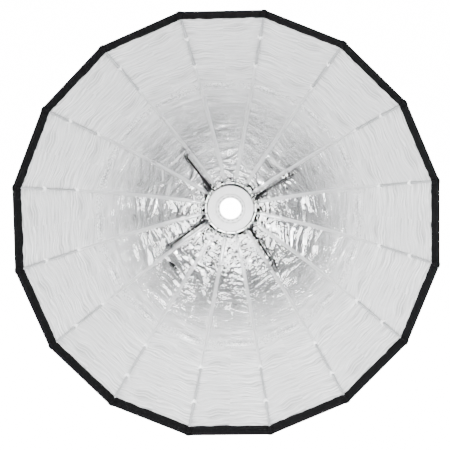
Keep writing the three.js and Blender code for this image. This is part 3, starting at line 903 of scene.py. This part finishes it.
silver_lining = silver_lining_finish()
black_nylon = cloth_finish(
    "black_nylon", (0.0015, 0.0015, 0.0017), (0.005, 0.005, 0.0055), 1100, 0.12 * MM, 0.6, 0.35
)
black_webbing = cloth_finish(
    "black_webbing", (0.001, 0.001, 0.0012), (0.0038, 0.0038, 0.0043), 520, 0.35 * MM, 0.78, 0.1
)
silver_sleeve = metal_finish(
    "silver_sleeve", (0.74, 0.745, 0.75), (0.92, 0.922, 0.925), 0.3, (0.2, 0.2, 0.2), 0.9
)
rod_metal = metal_finish("rod_metal", (0.45, 0.46, 0.47), (0.66, 0.67, 0.68), 0.33, (0.1, 0.1, 0.1))
bright_steel = metal_finish("bright_steel", (0.52, 0.52, 0.53), (0.75, 0.75, 0.76), 0.28, (0.3, 2.0, 0.3))
white_plastic = plastic_finish("white_plastic", (0.86, 0.862, 0.865), (0.76, 0.762, 0.765), 0.38)
black_plastic = plastic_finish("black_plastic", (0.004, 0.004, 0.0045), (0.009, 0.009, 0.0095), 0.5, 0.3)
black_paint = painted_steel_finish()
black_thread = thread_finish("black_thread", (0.005, 0.005, 0.0055))
white_thread = thread_finish("white_thread", (0.6, 0.6, 0.6))


# Camera, lights and floor

MOUTH = cad_box[0].y
CAMERA_BEFORE_MOUTH = 3.418
CAMERA_RIGHT = 0.095
CAMERA_UP = 0.322
CAMERA_AZIMUTH = math.radians(-1.62)
CAMERA_ELEVATION = math.radians(-5.32)
CAMERA_ROLL = math.radians(-1.03)
CAMERA_LENS = 99.2
FLOOR_BELOW = 1.35
FLOOR_SIZE = 60.0
WHITE = 16.0
BRIGHT = 0.16
DARK = 0.01
DARK_CONE = (-0.98, -0.75)  # behind the camera, from darkest to bright
SOFTBOXES = (
    ("left_softbox", (-2.7, -3.0, 0.9), (0.7, 1.8), 330),
    ("right_softbox", (2.7, -3.0, 0.9), (0.7, 1.8), 230),
    ("top_softbox", (0.2, -2.8, 2.6), (1.8, 0.6), 230),
    ("low_softbox", (-0.3, -3.4, -0.9), (1.0, 0.3), 50),
    ("back_softbox", (1.5, 3.4, 2.6), (2.4, 2.4), 120),
)


def set_camera():
    data = bpy.data.cameras.new("camera")
    data.sensor_width = 36
    data.lens = CAMERA_LENS
    ahead = Vector(
        (
            math.sin(CAMERA_AZIMUTH) * math.cos(CAMERA_ELEVATION),
            math.cos(CAMERA_AZIMUTH) * math.cos(CAMERA_ELEVATION),
            math.sin(CAMERA_ELEVATION),
        )
    )
    level = ahead.cross(Vector((0, 0, 1))).normalized()
    upright = level.cross(ahead)
    across = level * math.cos(CAMERA_ROLL) + upright * math.sin(CAMERA_ROLL)
    upward = upright * math.cos(CAMERA_ROLL) - level * math.sin(CAMERA_ROLL)
    camera = add_object("camera", data)
    turn = Matrix((across, upward, -ahead)).transposed().to_4x4()
    place = (CAMERA_RIGHT, MOUTH - CAMERA_BEFORE_MOUTH, CAMERA_UP)
    camera.matrix_world = Matrix.Translation(place) @ turn
    bpy.context.scene.camera = camera


def add_softbox(name, place, aim, size, power):
    """A large soft light at a place, aimed at a point."""
    data = bpy.data.lights.new(name, "AREA")
    data.shape = "RECTANGLE"
    data.size, data.size_y = size
    data.energy = power
    light = add_object(name, data)
    light.location = place
    light.rotation_euler = (Vector(aim) - Vector(place)).to_track_quat("-Z", "Y").to_euler()


def add_studio():
    """White to the eye, darker behind the camera, with large soft lights round it."""
    world = bpy.data.worlds.new("studio")
    bpy.context.scene.world = world
    world.use_nodes = True
    tree = world.node_tree
    backdrop = tree.nodes["Background"]
    backdrop.inputs["Color"].default_value = (1, 1, 1, 1)
    towards = tree.nodes.new("ShaderNodeTexCoord").outputs["Generated"]
    split = add_node(tree, "ShaderNodeSeparateXYZ", {0: towards}).outputs
    room = span(tree, split["Y"], DARK, BRIGHT, *DARK_CONE, interpolation_type="SMOOTHSTEP")
    eye = tree.nodes.new("ShaderNodeLightPath").outputs["Is Camera Ray"]
    tree.links.new(first_of(tree, "ShaderNodeMix", {0: eye, 2: room, 3: WHITE}), backdrop.inputs["Strength"])
    for name, place, size, power in SOFTBOXES:
        add_softbox(name, place, (0, -0.2, 0), size, power)


def add_floor():
    """A pale sweep that looks evenly white and lights the reflector like plain paper."""
    half = FLOOR_SIZE / 2
    corners = [(-half, -half), (half, -half), (half, half), (-half, half)]
    floor = mesh_object("floor", [(x, y, -FLOOR_BELOW) for x, y in corners], [(0, 1, 2, 3)])
    finish, tree, shader, places = new_finish("pale_floor", roughness=0.8)
    skin = use_effect(tree, grain, Place=places["Object"], Scale=60.0)
    paper = mix_colour(tree, skin["Shade"], (0.9, 0.9, 0.9), (0.93, 0.93, 0.93))
    shader["Emission Color"].default_value = (1, 1, 1, 1)
    eye = tree.nodes.new("ShaderNodeLightPath").outputs["Is Camera Ray"]
    link_all(tree, shader, base_color=paper, emission_strength=maths(tree, "MULTIPLY", eye, WHITE))
    floor.data.materials.append(finish)


set_camera()
add_studio()
add_floor()


# Canopy


def shell_faces(rows, columns):
    """Faces of a thin closed shell: the inner grid, the outer grid and the edge round both."""
    grid = np.arange(rows * columns).reshape(rows, columns)
    a, b, c, d = grid[:-1, :-1], grid[:-1, 1:], grid[1:, 1:], grid[1:, :-1]
    inner = np.stack((a, b, c, d), axis=-1).reshape(-1, 4)
    outer = inner[:, ::-1] + rows * columns
    border = np.concatenate((grid[0, :-1], grid[:-1, -1], grid[-1, :0:-1], grid[:0:-1, 0]))
    after = np.roll(border, -1)
    rim = np.stack((after, border, border + rows * columns, after + rows * columns), axis=-1)
    return inner, outer, rim


def cloth_grid(rib, stations):
    """Points, normals and map of one rib's cloth, from mid-gore to mid-gore."""
    shares = np.linspace(0, 0.5, COLUMNS + 1)
    halves = []
    for side in (-1, 1):
        share, station = np.meshgrid(shares, stations)
        points = cloth_point(rib, side, share, station)
        normals = cloth_normal(rib, side, share, station)
        across = side * share * 2 * math.sin(GORE / 2) * station
        chart = np.stack((across, arc_length(station)), axis=-1)
        halves.append((points, normals, chart))
    left, right = halves
    points = np.concatenate((left[0][:, ::-1], right[0][:, 1:]), axis=1)
    chart = np.concatenate((left[2][:, ::-1], right[2][:, 1:]), axis=1)
    return points, left[1][:, ::-1], right[1], chart


def cloth_piece(rib, number, points, left, right, chart):
    """One zone of a rib's cloth: silver inside, black outside, creased along the rib."""
    rows, columns = points.shape[:2]
    middle = columns // 2
    normals = np.concatenate((left[:, :-1], right), axis=1)
    mean = normals.copy()
    mean[:, middle] = left[:, -1] + right[:, 0]
    mean[:, middle] /= np.linalg.norm(mean[:, middle], axis=-1, keepdims=True)
    outside = points - mean * CLOTH_THICKNESS
    inner, outer, border = shell_faces(rows, columns)
    corner = points.reshape(-1, 3)[inner[len(inner) // 3]]
    facing = np.cross(corner[1] - corner[0], corner[2] - corner[0]) @ rib.out
    faces = np.concatenate((inner, outer, border))
    on_right = np.tile(np.arange(columns - 1) >= middle, rows - 1)
    if facing < 0:
        faces = faces[:, ::-1]
    all_points = np.concatenate((points.reshape(-1, 3), outside.reshape(-1, 3)))
    piece = mesh_object(f"canopy_cloth_{rib.label}_{number}", all_points, faces)
    mesh = piece.data
    for finish in (silver_lining, black_nylon):
        mesh.materials.append(finish)
    mesh.polygons.foreach_set("material_index", [0] * len(inner) + [1] * (len(outer) + len(border)))
    mesh.polygons.foreach_set("use_smooth", [True] * len(faces))
    uv = mesh.uv_layers.new(name="cloth")
    both_sides = np.tile(chart.reshape(-1, 2), (2, 1))
    uv.data.foreach_set("uv", both_sides[faces.ravel()].astype(np.float32).ravel())
    left_normals = np.concatenate((left, right[:, 1:]), axis=1).reshape(-1, 3)
    right_normals = np.concatenate((left[:, :-1], right), axis=1).reshape(-1, 3)
    loops = faces[: 2 * len(inner)] % (rows * columns)
    on_right = np.concatenate((on_right, on_right))[:, None, None]
    chosen = np.where(on_right, right_normals[loops], left_normals[loops])
    chosen[len(inner):] *= -1
    loose = np.zeros((len(border), 4, 3))
    mesh.normals_split_custom_set(np.concatenate((chosen, loose)).reshape(-1, 3).tolist())
    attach(piece, rib.body)
    anchor = rib.place(points[0, 0] @ rib.radial, 0, 0)
    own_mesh(piece)
    return piece


def add_canopy(rib):
    stations = cloth_stations()
    inner_cuts = [int(np.abs(stations - station).argmin()) for station in ZONE_STATIONS]
    cuts = [0, *inner_cuts, len(stations) - 1]
    points, left, right, chart = cloth_grid(rib, stations)
    for number, (first, last) in enumerate(zip(cuts[:-1], cuts[1:]), 1):
        rows = slice(first, last + 1)
        piece = cloth_piece(
            rib, number, points[rows], left[rows], right[rows], chart[rows]
        )
        if number == 1:
            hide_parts("canopy_" + rib.label)


# Edgings and ribs


def lay_map(piece, rib):
    """A map in metres on a long piece: across and along its rib."""
    mesh = piece.data
    uv = mesh.uv_layers.new(name="cloth")
    points = points_of(mesh)
    loops = np.zeros(len(mesh.loops), int)
    mesh.loops.foreach_get("vertex_index", loops)
    along = arc_length(np.maximum(points @ rib.radial, 0))
    chart = np.stack((points @ rib.lateral, along), axis=-1)
    uv.data.foreach_set("uv", chart[loops].astype(np.float32).ravel())


def band_section(gore, share):
    """The rim band's section as (depth from the rim along the cloth, lift off the lining)."""
    wave = 1.6 * MM * gore_noise[gore][1](share * 9, 0.5)
    inside = -BAND_WIDTH + wave
    gap = 0.15 * MM
    under, over = gap, gap + BAND_THICKNESS
    back_under = -CLOTH_THICKNESS - gap
    back_over = back_under - BAND_THICKNESS
    edge = 1.4 * MM
    return [
        (inside, under), (inside - 0.3 * MM, (under + over) / 2), (inside + 0.2 * MM, over),
        (inside * 0.66, over), (inside * 0.33, over), (-2 * MM, over),
        (edge * 0.6, over - 0.3 * MM), (edge, -CLOTH_THICKNESS / 2), (edge * 0.6, back_over + 0.3 * MM),
        (-2 * MM, back_over), (inside * 0.33, back_over), (inside * 0.66, back_over),
        (inside + 0.2 * MM, back_over), (inside - 0.3 * MM, (back_over + back_under) / 2),
        (inside, back_under), (inside * 0.5, back_under), (0.3 * MM, back_under),
        (0.3 * MM, under), (inside * 0.5, under),
    ]


def add_rim_band(rib):
    """Black webbing folded over the canopy's edge, from mid-gore to mid-gore."""
    slant = math.hypot(1, bowl_slope(RIM))
    shares = np.linspace(0, 0.5, 22)
    halves = []
    for side in (-1, 1):
        gore = rib.index if side < 0 else (rib.index - 1) % RIB_COUNT
        corners = np.array([band_section(gore, share if side < 0 else 1 - share) for share in shares])
        stitched = [(depth, BAND_THICKNESS + 0.3 * MM) for depth in (-BAND_WIDTH + 4 * MM, -4 * MM)]
        corners = np.concatenate((corners, np.tile(stitched, (len(shares), 1, 1))), axis=1)
        station = RIM + corners[..., 0] / slant
        halves.append(cloth_point(rib, side, shares[:, None], station, corners[..., 1]))
    halves[0][0] = halves[1][0] = (halves[0][0] + halves[1][0]) / 2
    sections = np.concatenate((halves[0][::-1], halves[1][1:]))
    seams = [sections[:, -2], sections[:, -1]]
    sections = sections[:, :-2]
    sewn = stitches(seams, black_thread, seed=rib.index)
    shapes = [(*loft(sections), 0), shape_of(sewn, 1)]
    piece = make_piece(
        "rim_band_" + rib.label, shapes, (black_webbing, black_thread), rib.body, angle=50
    )
    lay_map(piece, rib)
    anchor = rib.place(RIM, 0, 0)
    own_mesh(piece)


def strip_sections(rib, stations, profile):
    """Sections of a strip along a rib. The profile gives (lateral, lift) corners at a station."""
    corners = np.array([profile(station) for station in stations])
    return beside_rib(rib, corners[..., 0], stations[:, None], corners[..., 1])


def mirrored(half):
    """A whole arch from the half that ends on the rib."""
    return [*half, *((-lateral, lift) for lateral, lift in half[-2::-1])]


def sleeve_half_width(station):
    near, far = SLEEVE_HALF_WIDTHS
    return near + (far - near) * smooth_step(SLEEVE_START, CLIP_STATIONS[0], station)


def sleeve_profile(station):
    """The silver sleeve over a rod: a flat hem each side and an arch between them."""
    wide = sleeve_half_width(station)
    top = ROD_LIFT + ROD_RADIUS + 0.5 * MM
    hem = ((wide, 0.5 * MM), (0.78 * wide, 1.2 * MM))
    arch = ((0.62 * wide, 0.62 * top), (0.42 * wide, 0.9 * top), (0.2 * wide, top), (0.0, 1.02 * top))
    over = mirrored(hem + arch)
    under = [(lateral * 0.93, max(lift - 0.45 * MM, 0.12 * MM)) for lateral, lift in over[::-1]]
    return over + under


def add_sleeve(rib):
    """The silver sleeve that holds the rod to the lining, from the hub to the first clip."""
    end = CLIP_STATIONS[0] - 4 * MM
    stations = even_stations(SLEEVE_START, end, 90)
    shapes = [(*loft(strip_sections(rib, stations, sleeve_profile)), 0)]
    line = even_stations(SLEEVE_START, end, 60)
    hem = 0.88 * sleeve_half_width(line)
    seams = [beside_rib(rib, side * hem, line, 0.95 * MM) for side in (-1, 1)]
    shapes.append(shape_of(stitches(seams, white_thread, seed=40 + rib.index), 1))
    piece = make_piece(
        "rib_sleeve_" + rib.label, shapes, (silver_sleeve, white_thread), rib.body, angle=45
    )
    lay_map(piece, rib)


def tape_profile(station):
    """The black tape outside a rib, which rises over the rim band."""
    rise = BAND_THICKNESS + 0.3 * MM
    over_band = rise * float(smooth_step(BAND_START - 5 * MM, BAND_START, station))
    under = -CLOTH_THICKNESS - 0.2 * MM - over_band
    over = under - TAPE_THICKNESS
    wide = TAPE_HALF_WIDTH
    steps = (-1.0, -0.92, -0.5, 0.0, 0.5, 0.92, 1.0)
    lower = [(wide * step, under) for step in steps]
    upper = [(wide * step, over + (0.3 * MM if abs(step) == 1 else 0)) for step in steps[::-1]]
    return lower + upper


def pocket_profile(station):
    """The pocket over the rod's tip, inside the bowl."""
    base = BAND_THICKNESS + 0.35 * MM
    top = ROD_LIFT + ROD_RADIUS + 1.0 * MM
    end = float(smooth_step(RIM + 1.2 * MM, RIM - 3 * MM, station))
    top = base + MM + (top - base - MM) * (0.25 + 0.75 * end)
    wide = POCKET_HALF_WIDTH
    hem = ((wide, base), (0.95 * wide, base + 0.8 * MM), (0.7 * wide, base + 1.1 * MM))
    return mirrored(hem + ((0.5 * wide, 0.7 * top), (0.3 * wide, 0.96 * top), (0.0, top)))


def add_tape(rib):
    """The black tape along the outside of a rib, with its pocket over the rod's tip."""
    stations = even_stations(START + 4 * MM, RIM + 0.4 * MM, 110)
    shapes = [(*loft(strip_sections(rib, stations, tape_profile)), 0)]
    pocket = even_stations(RIM - POCKET_LENGTH / math.hypot(1, bowl_slope(RIM)), RIM + 0.9 * MM, 12)
    shapes.append((*loft(strip_sections(rib, pocket, pocket_profile)), 0))
    line = even_stations(START + 8 * MM, BAND_START - 6 * MM, 80)
    lift = -CLOTH_THICKNESS - TAPE_THICKNESS - 0.3 * MM
    seams = [beside_rib(rib, side * 0.8 * TAPE_HALF_WIDTH, line, lift) for side in (-1, 1)]
    shapes.append(shape_of(stitches(seams, black_thread, seed=80 + rib.index), 1))
    piece = make_piece(
        "rib_tape_" + rib.label, shapes, (black_webbing, black_thread), rib.body, angle=50
    )
    lay_map(piece, rib)


def add_rod(rib):
    """A round rod that follows the bowl from its hinge eye to the rim."""
    tip = RIM - 4 * MM
    stations = even_stations(rib.hinge[0] + 2.5 * MM, tip, 100)
    normal = rib_normal(rib, stations)
    middle = rib.place(stations, 0 * stations, bowl_height(stations)) + ROD_LIFT * normal
    angles = np.linspace(0, 2 * math.pi, ROD_SIDES, endpoint=False)
    ends = np.ones(len(stations))
    ends[0], ends[-1] = 0.8, 0.8
    arms = np.cos(angles)[None, :, None] * normal[:, None] + np.sin(angles)[None, :, None] * rib.lateral
    sections = middle[:, None] + ROD_RADIUS * ends[:, None, None] * arms
    hinge = rib.place(rib.hinge[0], 0, rib.hinge[1])
    eye = rounded((EYE_HOLE, -EYE_WIDTH / 2), (EYE_RADIUS, EYE_WIDTH / 2), 0.6 * MM)
    shapes = [(*loft(sections), 0), (*spin(eye, hinge, rib.lateral, 32), 0)]
    piece = make_piece("rib_rod_" + rib.label, shapes, (rod_metal,), rib.body)
    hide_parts(rib.body)


def clip_part():
    """A snap-on clip: its saddle grips the rod and its feet are sewn to the lining."""
    arc = [math.radians(angle) for angle in np.linspace(-28, 208, 15)]
    outside, inside = 4.9 * MM, ROD_RADIUS + 0.08 * MM
    foot, low, high = 8.5 * MM, -ROD_LIFT + 0.7 * MM, -ROD_LIFT + 2.0 * MM
    outer = [(outside * math.cos(angle), outside * math.sin(angle)) for angle in arc]
    inner = [(inside * math.cos(angle), inside * math.sin(angle)) for angle in arc[::-1]]
    profile = [(foot, low), (foot, high), *outer, (-foot, high), (-foot, low), *inner]
    half = 6.5 * MM
    sections = np.array([[(x, y, z) for y, z in profile] for x in (-half, half)])
    part = mesh_object("clip_part", *loft(sections))
    face_outwards(part)
    return add_object("clip_part", round_edges(part, 0.5 * MM))


def add_clips(rib, part):
    """White clips that tie the lining to the rod."""
    places = []
    for station in CLIP_STATIONS:
        normal = rib_normal(rib, station)
        middle = rib.place(station, 0, bowl_height(station)) + ROD_LIFT * normal
        along = np.cross(rib.lateral, normal)
        places.append((middle, np.stack((along, rib.lateral, normal), axis=1)))
    made = copies(part, places, white_plastic, twist=0.12)
    make_piece("rib_clips_" + rib.label, [shape_of(made, 0)], (white_plastic,), rib.body)


clip = clip_part()
for rib in ribs:
    add_canopy(rib)
    add_rim_band(rib)
    add_sleeve(rib)
    add_tape(rib)
    add_rod(rib)
    add_clips(rib, clip)
bpy.data.objects.remove(clip)


# Hub, braces and brackets


def body_of(node):
    bodies = frame["record"]["behaviour"]["bodies"]
    return next(body for body, nodes in bodies.items() if node in nodes)


def dress(node, name, finish, slot, edge, angle=28):
    """A copy of a CAD node with its edges rounded, which stands for the node."""
    raw = add_object(name + "_raw", frame["nodes"][node].data.copy())
    face_outwards(raw, weld=2e-6, flat_angle=math.radians(0.6))
    piece = add_object(name, round_edges(raw, edge, angle))
    piece.data.materials.clear()
    piece.data.materials.append(finish)
    shade(piece, angle)
    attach(piece, body_of(node))
    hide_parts(node)


def ring_places(radius, y, facing, count, start=0.0):
    """Places evenly round the hub's axis, each with Z along the axis, facing 1 or -1."""
    out = np.array((0.0, facing, 0.0))
    places = []
    for step in range(count):
        angle = start + 2 * math.pi * step / count
        arm = np.array((math.cos(angle), 0, math.sin(angle)))
        turn = np.stack((arm, np.cross(out, arm), out), axis=1)
        places.append((radius * arm + (0, y, 0), turn))
    return places


def add_flange():
    """The white front flange, with a turned groove and a ring of moulded ticks."""
    low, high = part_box("front_flange")
    radius, front, back = high.x, low.y, high.y
    bore, groove = FLANGE_BORE, radius - GROOVE_INSET
    profile = [
        (bore, back), (radius, back), (radius, front + 1.6 * MM), (radius - 0.5 * MM, front + 0.5 * MM),
        (radius - 1.6 * MM, front), (groove + 0.6 * MM, front), (groove + 0.3 * MM, front + 0.5 * MM),
        (groove - 0.3 * MM, front + 0.5 * MM), (groove - 0.6 * MM, front), (bore + 1.6 * MM, front),
        (bore + 0.5 * MM, front + 0.4 * MM), (bore, front + 1.4 * MM),
    ]
    half_x, half_y = TICK_HALF_SIZE
    tick = mesh_object("tick", *box_shape((-half_x, -half_y, 0), (half_x, half_y, TICK_HEIGHT)))
    face_outwards(tick)
    ticks = copies(tick, ring_places(radius - TICK_INSET, front, -1.0, TICK_COUNT), white_plastic)
    bpy.data.objects.remove(tick)
    shapes = [(*spin(profile, (0, 0, 0), (0, 1, 0), 144), 0), shape_of(ticks, 0)]
    piece = make_piece("hub_flange", shapes, (white_plastic,), "hub")
    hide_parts("front_flange")


def box_shape(low, high):
    """Points and faces of a box between two corners."""
    points = [(x, y, z) for x in (low[0], high[0]) for y in (low[1], high[1]) for z in (low[2], high[2])]
    faces = [(0, 1, 3, 2), (4, 6, 7, 5), (0, 4, 5, 1), (2, 3, 7, 6), (0, 2, 6, 4), (1, 5, 7, 3)]
    return points, faces


def add_screws():
    """A ring of pan-head screws with cupped recesses, on the back of the bayonet ring."""
    head, height = SCREW_HEAD, 0.55 * SCREW_HEAD
    rim = [(0.01 * MM, 0), (head, 0), (head, 0.45 * height), (0.8 * head, 0.85 * height)]
    recess = [(0.4, 1), (0.3, 1), (0.28, 0.5)]
    cup = [(across * head, up * height) for across, up in recess]
    profile = [*rim, *cup, (0.01 * MM, 0.4 * height)]
    part = mesh_object("screw_part", *spin(profile, (0, 0, 0), (0, 0, 1), 16))
    face_outwards(part)
    places = ring_places(SCREW_RING, 0.0, 1.0, SCREW_COUNT, start=math.radians(30))
    made = copies(part, places, bright_steel, twist=1.2)
    bpy.data.objects.remove(part)
    make_piece("bayonet_screws", [shape_of(made, 0)], (bright_steel,), "hub")


def add_cuff():
    """The gathered cuff that closes the canopy round the hub, black behind."""
    low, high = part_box("canopy_cuff")
    outer, top, bottom = high.x, low.y, high.y
    profile = rounded((outer - CUFF_WALL, top), (outer - 0.7 * MM, bottom), 1.2 * MM, 4)
    rows = []
    for step in range(CUFF_STEPS):
        angle = 2 * math.pi * step / CUFF_STEPS
        gather = sum(rise * math.sin(waves * angle + phase) for waves, rise, phase in CUFF_GATHERS)
        row = []
        for radius, y in profile:
            reach = radius + gather * (radius - outer + CUFF_WALL) / CUFF_WALL
            row.append((reach * math.cos(angle), y, reach * math.sin(angle)))
        rows.append(row)
    shapes = [(*loft(np.array(rows), closed=True), 0)]
    piece = make_piece("cuff_gather", shapes, (silver_lining, black_nylon), "hub")
    for face in piece.data.polygons:
        face.material_index = 1 if face.normal.y > 0.3 else 0
    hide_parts("canopy_cuff")


def add_dark_and_pale_slot_rings():
    """A dark ring of painted shade and a pale ring behind the vent's slots, which stop light from leaking
    through.
    """
    bore, middle, edge = SLOT_RING_RADII
    front, back = SLOT_RING_ENDS
    pale_bore = middle + 0.1 * MM
    # The dark ring is painted shade: it shows black through the slots.
    dark = [(bore, back), (middle, back), (middle, front), (bore, front)]
    pale = [(pale_bore, back), (edge, back), (edge, front), (pale_bore, front)]
    shapes = [(*spin(ring, (0, 0, 0), (0, 1, 0), 96), which) for which, ring in enumerate((dark, pale))]
    make_piece("vent_baffle", shapes, (black_plastic, white_plastic), "hub")


def add_hub():
    add_flange()
    add_dark_and_pale_slot_rings()
    dress("vent_ring", "vent_plate", white_plastic, "white_plastic", 0.25 * MM)
    dress("hub_front_plate", "hub_front", black_plastic, "black_plastic", 0.5 * MM)
    dress("hub_back_plate", "hub_back", black_paint, "black_metal", 0.5 * MM)
    dress("bayonet_ring", "bayonet", bright_steel, "bright_steel", 0.4 * MM)
    add_screws()
    add_cuff()


BRACE_PIECES = (
    ("brace_inner", "brace_channel", black_paint, "black_metal", 0.35 * MM, 28),
    ("brace_outer", "brace_blade", black_paint, "black_metal", 0.45 * MM, 28),
    ("rib_bracket", "brace_bracket", bright_steel, "bright_steel", 0.35 * MM, 28),
    ("brace_root_pin", "root_pin", bright_steel, "bright_steel", 0.3 * MM, 40),
    ("elbow_pin", "elbow_rivet", bright_steel, "bright_steel", 0.3 * MM, 40),
)


def add_braces():
    for number in range(1, 5):
        for node, name, *look in BRACE_PIECES:
            dress(f"{node}_{number}", f"{name}_{number}", *look)


add_hub()
add_braces()
wire = frame["nodes"]["pivot_wire"]
wire.data.materials.clear()
wire.data.materials.append(bright_steel)
